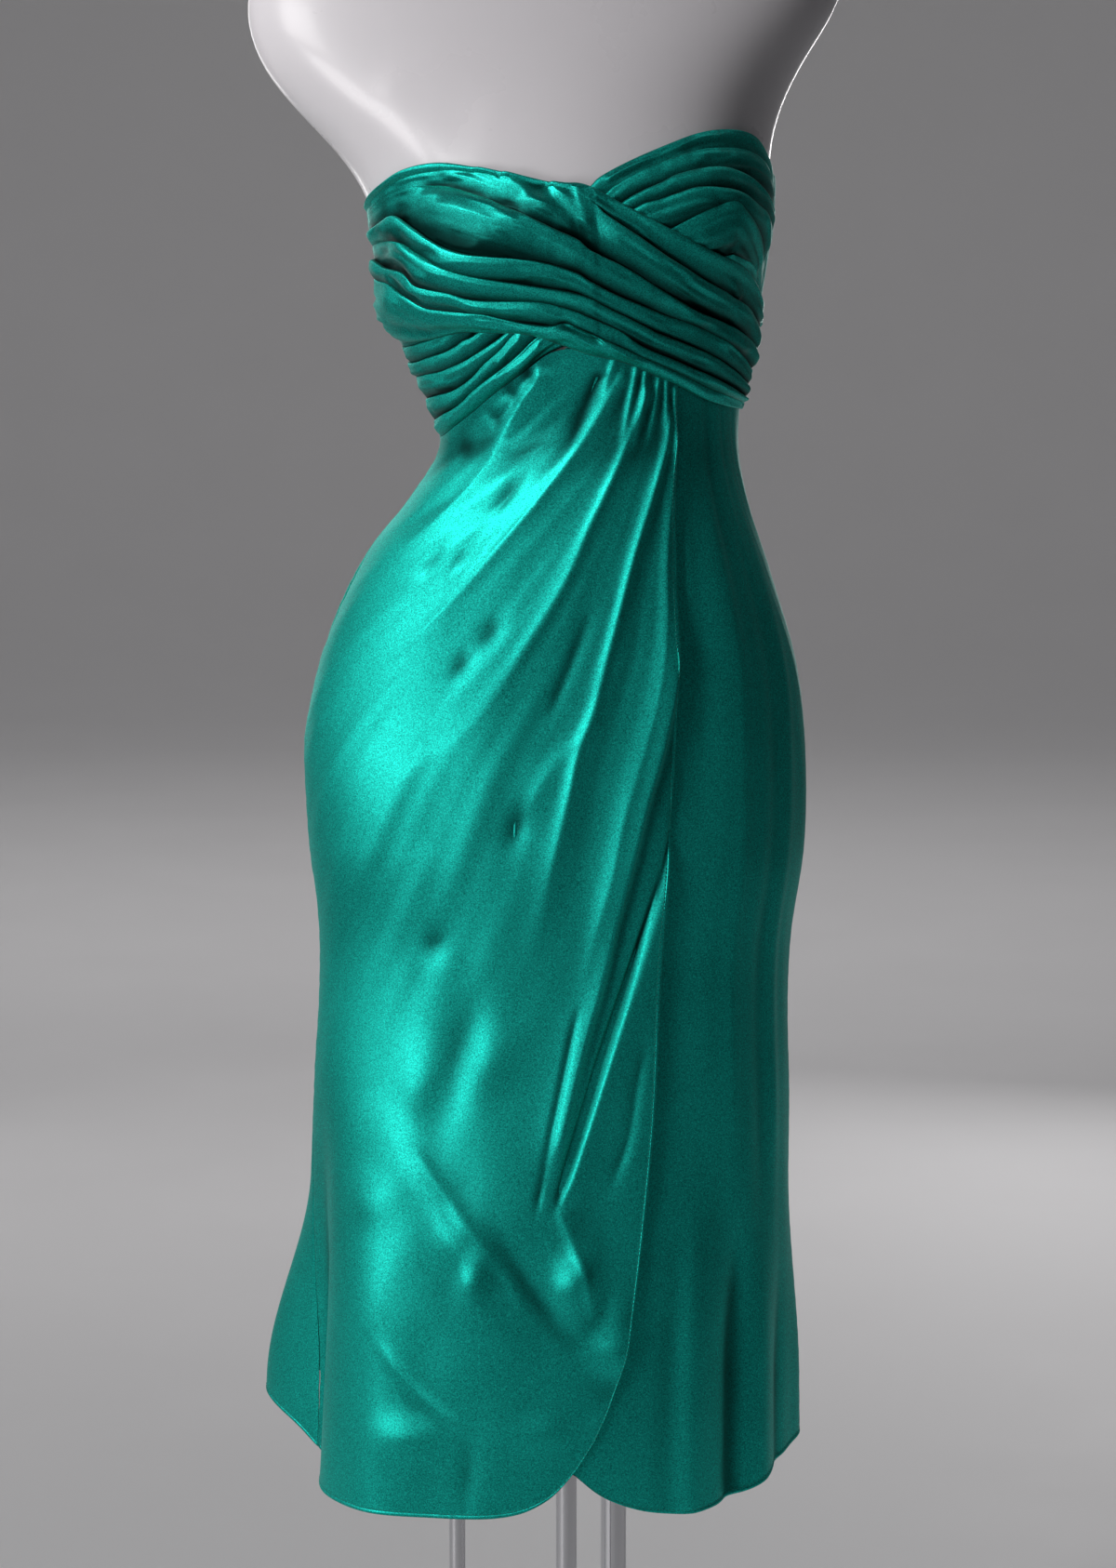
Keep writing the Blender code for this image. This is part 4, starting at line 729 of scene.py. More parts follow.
UNDER_SKIRT_TOP = (
    (-10, 1149), (-2, 1148), (8, 1142), (19, 1132), (29, 1124), (43, 1115), (58, 1110), (68, 1107.9),
    (75, 1107.1), (88, 1105.9))
UNDER_SKIRT_HEM = ((3, 376), (10, 358), (19, 346), (28, 341), (37, 341), (50, 346), (66, 356), (88, 366))
UNDER_SKIRT_FREE_EDGE = ((3, 376), (-6, 404), (-12, 470), (-14, 600), (-14, 760), (-12, 920), (-10, 1149))


def turned_in(places, lift, turn, *edges):
    """Lower the lift towards some edges of a grid, so that the cloth turns in there."""
    depth, reach = turn
    lines = {"top": places[-1][None], "bottom": places[0][None], "left": places[:, :1],
             "right": places[:, -1:]}
    for edge in edges:
        distance = np.linalg.norm((places - lines[edge]) * (DEGREE_AT_WAIST, 1.0), axis=2)
        t = np.clip(distance / reach, 0.0, 1.0)
        lift = lift - depth * (1 - np.sqrt(1 - (1 - t) ** 2))
    return lift


def skirt_lift(height):
    """How far the skirt's inner layer hangs off the figure."""
    return SKIN_GAP + (SKIRT_EASE - SKIN_GAP) * ease((EASE_TOP - height) / EASE_FALL)


def build_over_wrap(settings, satin):
    """Drape the wrap that crosses from the right cup to the left side."""
    angles = np.linspace(RIGHT_SIDE, LEFT_SIDE, WRAP_COLUMNS)
    places, rise, shade = pleated_rows(OVER_WRAP_BOTTOM, OVER_WRAP_TOP, OVER_WRAP_PLEATS, angles, 2.2)
    hidden_top = np.array(UNDER_WRAP_TOP[::-1], dtype=float)
    top_of_under = np.interp(places[..., 0], hidden_top[:, 0], hidden_top[:, 1])
    lift = SKIN_GAP + 2 * LAYER * ease((top_of_under + 22 - places[..., 1]) / 18) + rise
    lift = turned_in(places, lift, TOP_TURN, "top")
    lift = turned_in(places, lift, LIP_TURN, "bottom")
    outer, normal = drape(places, lift, OVER_WRAP_CREASES, ())
    # painted shade: darker under each pleat and deep in each crease
    painted_shade = np.clip(WRAP_SHADE + PLEAT_SHADE * shade + painted_crease_shade(outer, normal), 0.0, 1.0)
    piece = cloth_piece("over_wrap_cloth", outer, normal, settings.cloth * 1000, satin, painted_shade)
    declare(piece, "bodice_over_wrap")


def build_under_wrap(settings, satin):
    """Drape the wrap that covers the left cup and the right midriff."""
    angles = np.linspace(RIGHT_SIDE, LEFT_SIDE, WRAP_COLUMNS)
    places, rise, shade = pleated_rows(UNDER_WRAP_BOTTOM, UNDER_WRAP_TOP, UNDER_WRAP_PLEATS, angles, 1.0)
    cover_low = np.interp(places[..., 0], *np.array(OVER_WRAP_BOTTOM, dtype=float).T)
    cover_high = np.interp(places[..., 0], *np.array(OVER_WRAP_TOP, dtype=float).T)
    covered = ease((places[..., 1] - cover_low - 4) / 10) * ease((cover_high - 4 - places[..., 1]) / 10)
    lift = SKIN_GAP + rise * (1 - 0.45 * covered)
    lift = turned_in(places, lift, TOP_TURN, "top")
    outer, normal = drape(places, lift, UNDER_WRAP_CREASES, ())
    # painted shade: darker under each pleat and deep in each crease
    painted_shade = np.clip(WRAP_SHADE + PLEAT_SHADE * shade + painted_crease_shade(outer, normal), 0.0, 1.0)
    piece = cloth_piece("under_wrap_cloth", outer, normal, settings.cloth * 1000, satin, painted_shade)
    declare(piece, "bodice_under_wrap")


def back_waist(side, start, drop):
    """The waist seam from a start angle to the zip, lowered by drop."""
    angles = side * np.linspace(abs(start), 180 - ZIP_HALF_ANGLE, 7)
    at_side, fall_from = (16.0, LEFT_SIDE) if side > 0 else (-6.0, -RIGHT_SIDE)
    heights = WAIST_BACK + at_side * (1 - ease((np.abs(angles) - fall_from) / 80)) - drop
    return tuple(zip(angles, heights))


def bodice_back_grid(side):
    """Points and ways out of a plain back panel; side is 1 on the wearer's left."""
    seam, seam_high = (LEFT_SIDE + SEAM_ANGLE, 1252) if side > 0 else (RIGHT_SIDE - SEAM_ANGLE, 1257)
    zip_edge = side * (180 - ZIP_HALF_ANGLE)
    bottom = back_waist(side, seam, 0.0)
    top = ((seam, seam_high), ((seam + zip_edge) / 2, NECKLINE_BACK + 9), (zip_edge, NECKLINE_BACK))
    places = patch(bottom, top, straight(bottom[0], top[0]), straight(bottom[-1], top[-1]),
                   *BACK_BODICE_GRID)
    lift = np.full(places.shape[:2], SKIN_GAP)
    lift = turned_in(places, lift, SEAM_TURN, "top", "bottom", "left", "right")
    return drape(places, np.maximum(lift, LEAST_LIFT), BACK_BODICE_RIDGES, ())


def build_bodice_back(settings, name, node, side, satin):
    """Fit one back panel of the bodice."""
    outer, normal = bodice_back_grid(side)
    piece = cloth_piece(name, outer, normal, settings.cloth * 1000, satin, upright=True)
    declare(piece, node)


def over_skirt_grid():
    """Points and ways out of the skirt's over-panel."""
    places = patch(OVER_SKIRT_HEM, OVER_SKIRT_TOP, straight(OVER_SKIRT_HEM[0], OVER_SKIRT_TOP[0]),
                   OVER_SKIRT_FREE_EDGE, *OVER_SKIRT_GRID, crowd=1.25)
    angle, height = places[..., 0], places[..., 1]
    over_under = ease((angle + 34) / 16)
    free_edge = ease((angle - 2) / 18) * ease((1000 - height) / 240)
    lift = skirt_lift(height) + LAYER * over_under + FREE_EDGE_LIFT * free_edge
    lift = turned_in(places, lift, SEAM_TURN, "left")
    return drape(places, lift, OVER_SKIRT_RIDGES + HEM_RIDGES, OVER_SKIRT_SWELLS, hanging=True,
                 gather=OVER_GATHER)


def under_skirt_grid():
    """Points and ways out of the skirt's under-panel."""
    side = straight(UNDER_SKIRT_HEM[-1], UNDER_SKIRT_TOP[-1])
    places = patch(UNDER_SKIRT_HEM, UNDER_SKIRT_TOP, UNDER_SKIRT_FREE_EDGE, side, *UNDER_SKIRT_GRID)
    lift = turned_in(places, skirt_lift(places[..., 1]), SEAM_TURN, "right")
    return drape(places, lift, UNDER_SKIRT_RIDGES + HEM_RIDGES, (), hanging=True, gather=UNDER_GATHER)


def back_skirt_grid(side):
    """Points and ways out of a back panel of the skirt; side is 1 on the wearer's left."""
    seam = (SKIRT_LEFT_SIDE if side > 0 else RIGHT_SIDE) + side * SEAM_ANGLE
    middle = side * (180 - ZIP_HALF_ANGLE)
    closed = side * (180 - SEAM_ANGLE / 2)
    low_side = UNDER_SKIRT_HEM[-1][1] if side > 0 else OVER_SKIRT_HEM[0][1]
    between = HEM_BACK_LEFT if side > 0 else HEM_BACK_RIGHT
    bottom = ((seam, low_side),) + between + ((closed, HEM_BACK),)
    top = back_waist(side, seam, SEAM_GAP)
    centre = ((closed, HEM_BACK), (closed, 640), (closed, ZIP_BOTTOM - 40), (middle, ZIP_BOTTOM),
              (middle, 1020), top[-1])
    places = patch(bottom, top, straight(bottom[0], top[0]), centre, *BACK_SKIRT_GRID)
    lift = turned_in(places, skirt_lift(places[..., 1]), SEAM_TURN, "top", "left", "right")
    return drape(places, np.maximum(lift, LEAST_LIFT), HEM_RIDGES + BACK_SKIRT_RIDGES, (), hanging=True,
                 gather=(middle, BACK_GATHER))


# ------------------------------------------------------------- hems and stitches
def tube_along(name, centre, wide, thick, side_way, out_way, material):
    """A flat, rounded band along a line of points, in millimetres."""
    count = 10
    turns = [2 * pi * i / count for i in range(count)]
    rings = [centre + side_way * (wide * cos(t)) + out_way * (thick * sin(t)) for t in turns]
    points = np.stack(rings, axis=1).reshape(-1, 3)
    faces = []
    rows = len(centre)
    for j in range(rows - 1):
        for i in range(count):
            a, b = j * count + i, j * count + (i + 1) % count
            faces.append((a, b, b + count, a + count))
    faces.append(tuple(range(count - 1, -1, -1)))
    faces.append(tuple(range((rows - 1) * count, rows * count)))
    flat = np.stack([np.repeat(lengths_along(centre), count), np.tile(np.array(turns) * wide, rows)], axis=1)
    return mesh_piece(name, points, faces, material, flat)


def mesh_piece(name, points, faces, material, flat=None):
    """A smooth closed piece from points in millimetres, its faces turned outwards."""
    mesh = bpy.data.meshes.new(name)
    mesh.from_pydata((np.asarray(points) * MM).tolist(), [], faces)
    work = bmesh.new()
    work.from_mesh(mesh)
    bmesh.ops.recalc_face_normals(work, faces=work.faces)
    work.to_mesh(mesh)
    work.free()
    if flat is not None:
        thread_map(mesh, flat)
    mesh.materials.append(material)
    mesh.shade_smooth()
    return new_object(name, mesh)


def along_edge(edge, inside, normal, spacing):
    """Evenly spaced points of an edge, with the ways into the cloth and out of it."""
    length = lengths_along(edge)
    where = np.linspace(0.0, length[-1], max(2, int(length[-1] / spacing)))
    line = at_lengths(edge, length, where)
    return line, unit(at_lengths(inside, length, where) - line), unit(at_lengths(normal, length, where))


HEM_STEP = 3.0          # from one point of a rolled hem to the next
HEM_OVERLAP = 0.4       # how far the roll stands out past the cloth's edge
HEM_SWELL = 0.35        # rise of the roll over each face of the cloth
STITCH_OFF = 0.1        # from the roll to the row of stitches
STITCH_RISE = 0.12
# A stitch, end to end: share of its length from the middle, and half its thickness.
STITCH = ((-0.5, 0.06), (-0.3, 0.2), (0.3, 0.2), (0.5, 0.06))
CORNERS = ((-1, -1), (1, -1), (1, 1), (-1, 1))


def hem_pieces(settings, label, edge, inside, normal, satin, thread):
    """The narrow rolled hem on an edge of the cloth, and the stitching beside it.

    edge and inside are matching points on the edge and one grid row in from it.
    """
    cloth = settings.cloth * 1000
    width = settings.hem_width * 1000
    line, inward, out = along_edge(edge, inside, normal, HEM_STEP)
    centre = line + inward * (width / 2 - HEM_OVERLAP) - out * (cloth / 2)
    hem = tube_along("hem_" + label, centre, width / 2, cloth / 2 + HEM_SWELL, inward, out, satin)

    pitch, long = settings.stitch_pitch * 1000, settings.stitch_length * 1000
    middle, inward, out = along_edge(edge, inside, normal, pitch)
    middle = middle + inward * (width + STITCH_OFF) + out * STITCH_RISE
    way = unit(np.gradient(middle, axis=0))
    points, faces = [], []
    for m, w, n in zip(middle, way, out):
        s = np.cross(w, n)
        first = len(points)
        for reach, fat in STITCH:
            for across, up in CORNERS:
                points.append(m + w * (reach * long) + s * (across * fat) + n * (up * fat))
        faces.append((first + 3, first + 2, first + 1, first))
        for j in range(3):
            for i in range(4):
                a, b = first + 4 * j + i, first + 4 * j + (i + 1) % 4
                faces.append((a, b, b + 4, a + 4))
        faces.append((first + 12, first + 13, first + 14, first + 15))
    stitches = mesh_piece("stitches_" + label, points, faces, thread)
    for piece in (hem, stitches):
        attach(piece, WORN)
    return [hem, stitches]


# ---------------------------------------------------------------------- materials
# Sockets of a colour mix.
FIRST, SECOND, MIXED = 6, 7, 2
NOISE_SPAN = (0.3, 0.7)                 # most of a noise lies between these
# Woven satin. The colours are shares of the dye.
SATIN_DEEP = 0.55
SATIN_BRIGHT = 1.6
# share of the deep tone that the painted shade in the creases darkens to
SATIN_SHADE = 0.10
SATIN_ROUGHNESS = (0.39, 0.47)
CLOUD_SHARE = 0.22                      # of the slow change of tone against the grain
TONE_SPAN = (0.43, 0.79)                # the noise from the deep tone to the bright one

# A finish whose tone, roughness and relief all follow one noise: its scale, how it is
# stretched along each axis, the roughness between two ends, and the relief in metres.
Finish = namedtuple("Finish", "scale stretch roughness metallic bump relief")
FINISHES = {
    "sewing_thread": Finish(2500.0, (1, 1, 1), (0.45, 0.6), 0.1, 0.5, 0.0001),
    "zip_tape_cloth": Finish(900.0, (1, 1, 2.4), (0.5, 0.65), 0.0, 0.5, 0.0002),
    "zip_teeth_nylon": Finish(700.0, (1, 1, 1), (0.28, 0.42), 0.0, 0.2, 0.00005),
    "zip_enamel": Finish(400.0, (1, 1, 1), (0.25, 0.4), 0.85, 0.2, 0.00005),
    "form_gloss": Finish(14.0, (1, 1, 1), (0.24, 0.34), 0.0, 0.05, 0.0004),
    "rod_chrome": Finish(60.0, (1, 1, 0.05), (0.05, 0.11), 1.0, 0.03, 0.0001),
    "plate_steel": Finish(160.0, (0.05, 1, 1), (0.24, 0.34), 1.0, 0.04, 0.00003),
    "pale_floor": Finish(3.0, (1, 1, 1), (0.6, 0.7), 0.0, 0.02, 0.001),
}


def tinted(colour, share):
    """A colour made darker or brighter by a share."""
    return tuple(share * c for c in colour)


def fill(node, **inputs):
    """Set some of a node's sockets by name."""
    for name, value in inputs.items():
        node.inputs[name.replace("_", " ")].default_value = value
    return node


def add(tree, kind, **inputs):
    """A new node with some of its sockets set."""
    return fill(tree.nodes.new(kind), **inputs)


def colour_mix(tree, first, second, share):
    """A mix from one colour to another by the value of a socket."""
    mix = tree.nodes.new('ShaderNodeMix')
    mix.data_type = 'RGBA'
    if first:
        mix.inputs[FIRST].default_value = (*first, 1.0)
    mix.inputs[SECOND].default_value = (*second, 1.0)
    tree.links.new(share, mix.inputs["Factor"])
    return mix


def spanned(tree, value, old, new=(0.0, 1.0)):
    """The value of a socket, brought from one span to another."""
    span = add(tree, 'ShaderNodeMapRange', From_Min=old[0], From_Max=old[1], To_Min=new[0], To_Max=new[1])
    tree.links.new(value, span.inputs["Value"])
    return span.outputs["Result"]


def scaled_sum(tree, first, share, second):
    """A share of one socket's value and all of another's."""
    total = add(tree, 'ShaderNodeMath')
    total.operation = 'MULTIPLY_ADD'
    total.inputs[1].default_value = share
    tree.links.new(first, total.inputs[0])
    tree.links.new(second, total.inputs[2])
    return total.outputs[0]


def noise(tree, place, **inputs):
    """The value of a noise at a place."""
    node = add(tree, 'ShaderNodeTexNoise', **inputs)
    tree.links.new(place, node.inputs["Vector"])
    return node.outputs["Fac"]


def stretched(tree, place, scale):
    """A place, stretched along each axis."""
    mapping = add(tree, 'ShaderNodeMapping', Scale=scale)
    tree.links.new(place, mapping.inputs["Vector"])
    return mapping.outputs["Vector"]


def satin_group(deep, bright):
    """Colour, roughness and height of woven satin: fine grain, thread lines, and painted shade that darkens
    the colour deep in its creases.
    """
    group = bpy.data.node_groups.new("satin_weave", 'ShaderNodeTree')
    for label, kind in (("Color", 'NodeSocketColor'), ("Roughness", 'NodeSocketFloat'),
                        ("Height", 'NodeSocketFloat')):
        group.interface.new_socket(name=label, in_out='OUTPUT', socket_type=kind)
    out = group.nodes.new('NodeGroupOutput')
    link = group.links.new
    uv = add(group, 'ShaderNodeUVMap')
    uv.uv_map = "thread"
    place = add(group, 'ShaderNodeTexCoord').outputs["Object"]
    grain = noise(group, place, Scale=1150.0, Detail=2.0, Roughness=0.6)
    cloud = noise(group, place, Scale=9.0, Detail=3.0, Roughness=0.55)
    along_thread = stretched(group, uv.outputs["UV"], (170.0, 3400.0, 1.0))
    thread = noise(group, along_thread, Scale=1.0, Detail=1.0, Roughness=0.5)

    uneven = scaled_sum(group, cloud, CLOUD_SHARE, grain)
    tone = colour_mix(group, deep, bright, spanned(group, uneven, TONE_SPAN))
    # painted shade: deep in the creases the colour is darkened towards a tenth of the deep tone
    painted_shade = group.nodes.new('ShaderNodeAttribute')
    painted_shade.attribute_name = "painted_shade"
    shade = colour_mix(group, None, tinted(deep, SATIN_SHADE), painted_shade.outputs["Fac"])
    link(tone.outputs[MIXED], shade.inputs[FIRST])
    link(shade.outputs[MIXED], out.inputs["Color"])
    link(spanned(group, thread, NOISE_SPAN, SATIN_ROUGHNESS), out.inputs["Roughness"])
    link(scaled_sum(group, thread, 0.5, grain), out.inputs["Height"])
    return group


def shader_of(name, colour):
    """A new material, its tree and its shader."""
    material = bpy.data.materials.new(name)
    material.use_nodes = True
    material.diffuse_color = (*colour, 1.0)
    return material, material.node_tree, material.node_tree.nodes["Principled BSDF"]


def relief(tree, shader, height, strength, distance):
    """Raise the surface of a shader by the value of a socket."""
    bump = add(tree, 'ShaderNodeBump', Strength=strength, Distance=distance)
    tree.links.new(height, bump.inputs["Height"])
    tree.links.new(bump.outputs["Normal"], shader.inputs["Normal"])


def satin_material(colour):
    """Satin that shines in bands across its thread."""
    material, tree, shader = shader_of("draped_satin", colour)
    bright = tuple(min(1.0, SATIN_BRIGHT * c + 0.01) for c in colour)
    weave = tree.nodes.new('ShaderNodeGroup')
    weave.node_tree = satin_group(tinted(colour, SATIN_DEEP), bright)
    tree.links.new(weave.outputs["Color"], shader.inputs["Base Color"])
    tree.links.new(weave.outputs["Roughness"], shader.inputs["Roughness"])
    relief(tree, shader, weave.outputs["Height"], 0.30, 0.00003)
    fill(shader, Metallic=0.90, Specular_IOR_Level=0.4, Anisotropic=0.75, Sheen_Weight=0.03,
         Sheen_Roughness=0.4)
    thread_way = tree.nodes.new('ShaderNodeTangent')
    thread_way.direction_type = 'UV_MAP'
    thread_way.uv_map = "thread"
    tree.links.new(thread_way.outputs["Tangent"], shader.inputs["Tangent"])
    return material


def finished(name, colour, shade):
    """A material with the finish of that name, between a colour and a shade of it."""
    finish = FINISHES[name]
    material, tree, shader = shader_of(name, colour)
    place = stretched(tree, tree.nodes.new('ShaderNodeTexCoord').outputs["Object"], finish.stretch)
    grain = noise(tree, place, Scale=finish.scale, Detail=4.0, Roughness=0.6)
    tree.links.new(colour_mix(tree, shade, colour, grain).outputs[MIXED], shader.inputs["Base Color"])
    tree.links.new(spanned(tree, grain, NOISE_SPAN, finish.roughness), shader.inputs["Roughness"])
    relief(tree, shader, grain, finish.bump, finish.relief)
    fill(shader, Metallic=finish.metallic)
    return material


def satin_of(context):
    """The satin, made the first time that it is asked for."""
    return bpy.data.materials.get("draped_satin") or satin_material(tuple(context.scene.dress.satin_colour))


def thread_of(context):
    """The sewing thread, made the first time that it is asked for."""
    colour = tinted(context.scene.dress.satin_colour, 0.75)
    return bpy.data.materials.get("sewing_thread") or finished("sewing_thread", colour, tinted(colour, 0.5))


# ------------------------------------------------------------ hard pieces by hand
def select_only(*pieces):
    """Select these pieces and no others, the first of them active."""
    if bpy.context.object and bpy.context.object.mode != 'OBJECT':
        bpy.ops.object.mode_set(mode='OBJECT')
    bpy.ops.object.select_all(action='DESELECT')
    for piece in pieces:
        piece.select_set(True)
    if pieces:
        bpy.context.view_layer.objects.active = pieces[0]


def edit_all(piece):
    """Edit a piece, with all of it selected."""
    select_only(piece)
    bpy.ops.object.mode_set(mode='EDIT')
    bpy.ops.mesh.select_all(action='SELECT')


def select_faces(piece, wanted):
    """Select the faces of the piece in edit mode for which wanted is true, and no others."""
    bpy.ops.mesh.select_all(action='DESELECT')
    work = bmesh.from_edit_mesh(piece.data)
    for face in work.faces:
        face.select_set(wanted(face))
    bmesh.update_edit_mesh(piece.data)


def finish_edit(piece, bevel, segments):
    """Turn the faces outwards, leave edit mode and round the sharp edges."""
    bpy.ops.mesh.select_all(action='SELECT')
    bpy.ops.mesh.normals_make_consistent(inside=False)
    bpy.ops.object.mode_set(mode='OBJECT')
    bevelled(piece, bevel, segments)


def settle(piece, name, material, body, angle=35):
    """Name a finished primitive, smooth it and put its place into its mesh."""
    select_only(piece)
    bpy.ops.object.transform_apply(location=True, rotation=True, scale=True)
    bpy.ops.object.shade_smooth_by_angle(angle=radians(angle))
    piece.name = name
    piece.data.name = name
    piece.data.materials.clear()
    piece.data.materials.append(material)
    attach(piece, body)
    return piece


def bevelled(piece, width, segments):
    """Round the sharp edges of the active piece."""
    bevel = piece.modifiers.new("round", 'BEVEL')
    bevel.width = width
    bevel.segments = segments
    bevel.limit_method = 'ANGLE'
    bevel.angle_limit = radians(40)
    bpy.ops.object.modifier_apply(modifier=bevel.name)


def add_disc(x, y, z, radius, sides):
    """A flat round face, in edit mode and selected."""
    select_only()
    bpy.ops.mesh.primitive_circle_add(vertices=sides, radius=radius, fill_type='NGON', location=(x, y, z))
    edit_all(bpy.context.object)
    return bpy.context.object


def push(*way):
    """Extrude the selected faces."""
    bpy.ops.mesh.extrude_region_move(TRANSFORM_OT_translate={"value": way})


def widen(share):
    """Widen or narrow the selected faces, level."""
    bpy.ops.transform.resize(value=(share, share, 1.0))


COLLAR = 0.010          # metres, as are the rest of the stand's sizes
SCREW_RADIUS = 0.0022
SOCKET_RIM = 0.0011
SOCKET_DEPTH = 0.0012
# Name, place and radius of each rod.
RODS = (("rod_right", -0.072, 0.018, 0.006), ("rod_middle", 0.002, -0.038, 0.0075),
        ("rod_left", 0.044, 0.028, 0.0095))


def build_rod(name, x, y, radius, chrome):
    """A rod with a collar at each end, and a screw in each collar."""
    low_corner, high_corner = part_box(name)
    low, high = low_corner[2], high_corner[2]
    wide = (high_corner[0] - low_corner[0]) / 2
    rod = add_disc(x, y, low, wide, 64)
    push(0, 0, COLLAR)
    bpy.ops.mesh.inset(thickness=wide - radius)
    push(0, 0, high - low - 2 * COLLAR)
    push(0, 0, 0)
    widen(wide / radius)
    push(0, 0, COLLAR)
    finish_edit(rod, 0.0008, 3)
    settle(rod, name + "_tube", chrome, WORN)
    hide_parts(name)
    screws = []
    for level in (low + COLLAR / 2, high - COLLAR / 2):
        select_only()
        bpy.ops.mesh.primitive_cylinder_add(vertices=24, radius=SCREW_RADIUS, depth=0.0030,
                                            location=(x, y - wide + 0.0006, level), rotation=(pi / 2, 0, 0))
        screw = bpy.context.object
        edit_all(screw)
        select_faces(screw, lambda face: face.normal.z > 0.9)
        bpy.ops.mesh.inset(thickness=SOCKET_RIM)
        push(0, SOCKET_DEPTH, 0)
        bpy.ops.object.mode_set(mode='OBJECT')
        bevelled(screw, 0.0002, 2)
        screws.append(screw)
    select_only(*screws)
    bpy.ops.object.join()
    settle(screws[0], name + "_screws", chrome, WORN)


# ---------------------------------------------------------------------- settings
class DressSettings(bpy.types.PropertyGroup):
    cloth: bpy.props.FloatProperty(
        name="Cloth", description="Thickness of the satin",
        default=0.0008, min=0.0003, max=0.002, precision=4, unit='LENGTH')
    hem_width: bpy.props.FloatProperty(
        name="Hem width", description="Width of the narrow rolled hem",
        default=0.0030, min=0.001, max=0.01, precision=4, unit='LENGTH')
    stitch_pitch: bpy.props.FloatProperty(
        name="Stitch pitch", description="From one hem stitch to the next",
        default=0.0028, min=0.001, max=0.01, precision=4, unit='LENGTH')
    stitch_length: bpy.props.FloatProperty(
        name="Stitch length", description="Length of one hem stitch",
        default=0.0018, min=0.0005, max=0.01, precision=4, unit='LENGTH')
    tooth_pitch: bpy.props.FloatProperty(
        name="Tooth pitch", description="From one tooth of the zip to the next",
        default=0.00085, min=0.0006, max=0.003, precision=5, unit='LENGTH')
    satin_colour: bpy.props.FloatVectorProperty(
        name="Satin colour", description="Dye of the satin",
        default=(0.005, 0.50, 0.42), size=3, min=0, max=1, subtype='COLOR')


class StandSettings(bpy.types.PropertyGroup):
    form_colour: bpy.props.FloatVectorProperty(
        name="Form colour", description="Colour of the moulded form",
        default=(0.80, 0.78, 0.81), size=3, min=0, max=1, subtype='COLOR')
    steel_colour: bpy.props.FloatVectorProperty(
        name="Base colour", description="Colour of the steel base",
        default=(0.62, 0.63, 0.65), size=3, min=0, max=1, subtype='COLOR')


class StageSettings(bpy.types.PropertyGroup):
    main_power: bpy.props.FloatProperty(
        name="Main light", description="Power of the high soft light on the right side",
        default=9.3, min=0, unit='POWER')
    low_power: bpy.props.FloatProperty(
        name="Low light", description="Power of the low light that fills the skirt",
        default=8.4, min=0, unit='POWER')
    boom_power: bpy.props.FloatProperty(
        name="Boom light", description="Power of the light over the bodice",
        default=4.5, min=0, unit='POWER')
    rim_power: bpy.props.FloatProperty(
        name="Rim light", description="Power of the lights behind",
        default=12.0, min=0, unit='POWER')
    backdrop_power: bpy.props.FloatProperty(
        name="Backdrop light", description="Power of the light on the floor behind",
        default=85.0, min=0, unit='POWER')
    floor_colour: bpy.props.FloatVectorProperty(
        name="Floor colour", description="Colour of the pale floor",
        default=(0.80, 0.80, 0.81), size=3, min=0, max=1, subtype='COLOR')


# --------------------------------------------------------------------- operators
class DRESS_OT_wraps(bpy.types.Operator):
    """Drape the two crossed wraps of the bodice"""
    bl_idname = "dress.wraps"
    bl_label = "Bodice wraps"

    def execute(self, context):
        satin = satin_of(context)
        build_under_wrap(context.scene.dress, satin)
        build_over_wrap(context.scene.dress, satin)
        return {'FINISHED'}


class DRESS_OT_bodice_backs(bpy.types.Operator):
    """Fit the two plain back panels of the bodice"""
    bl_idname = "dress.bodice_backs"
    bl_label = "Bodice backs"

    def execute(self, context):
        satin = satin_of(context)
        build_bodice_back(context.scene.dress, "bodice_back_left_cloth", "bodice_back_left", 1, satin)
        build_bodice_back(context.scene.dress, "bodice_back_right_cloth", "bodice_back_right", -1, satin)
        return {'FINISHED'}


class DRESS_OT_skirt_fronts(bpy.types.Operator):
    """Hang the over-panel and the under-panel of the wrap skirt, with their hems"""
    bl_idname = "dress.skirt_fronts"
    bl_label = "Skirt fronts"

    def execute(self, context):
        outer, normal = over_skirt_grid()
        edge, inside, ways = border(outer, normal)
        # painted shade: the over-panel's colour is darkened deep in its creases
        skirt_panel(context, "skirt_over_cloth", outer, normal, "over", edge, inside, ways,
                    "skirt_over_panel",
                    SKIRT_SHADE * painted_crease_shade(outer, normal))
        outer, normal = under_skirt_grid()
        edge, inside, ways = (part[::-1] for part in border(outer[:, ::-1], normal[:, ::-1]))
        skirt_panel(context, "skirt_under_cloth", outer, normal, "under", edge, inside, ways,
                    "skirt_under_panel")
        return {'FINISHED'}


def border(outer, normal):
    """The lower and then the right edge of a grid, the points one step in from them, and the ways out."""
    edge = np.vstack([outer[0], outer[1:, -1]])
    inside = np.vstack([outer[1], outer[1:, -2]])
    inside[outer.shape[1] - 1] = outer[1, -2]
    return edge, inside, np.vstack([normal[0], normal[1:, -1]])


def skirt_panel(context, name, outer, normal, label, edge, inside, ways, node, painted_shade=None):
    """Hang one panel of the skirt and hem its edge."""
    dress, satin = context.scene.dress, satin_of(context)
    piece = cloth_piece(name, outer, normal, dress.cloth * 1000, satin, painted_shade, upright=True)
    extras = hem_pieces(dress, label, edge, inside, ways, satin, thread_of(context))
    declare(piece, node)


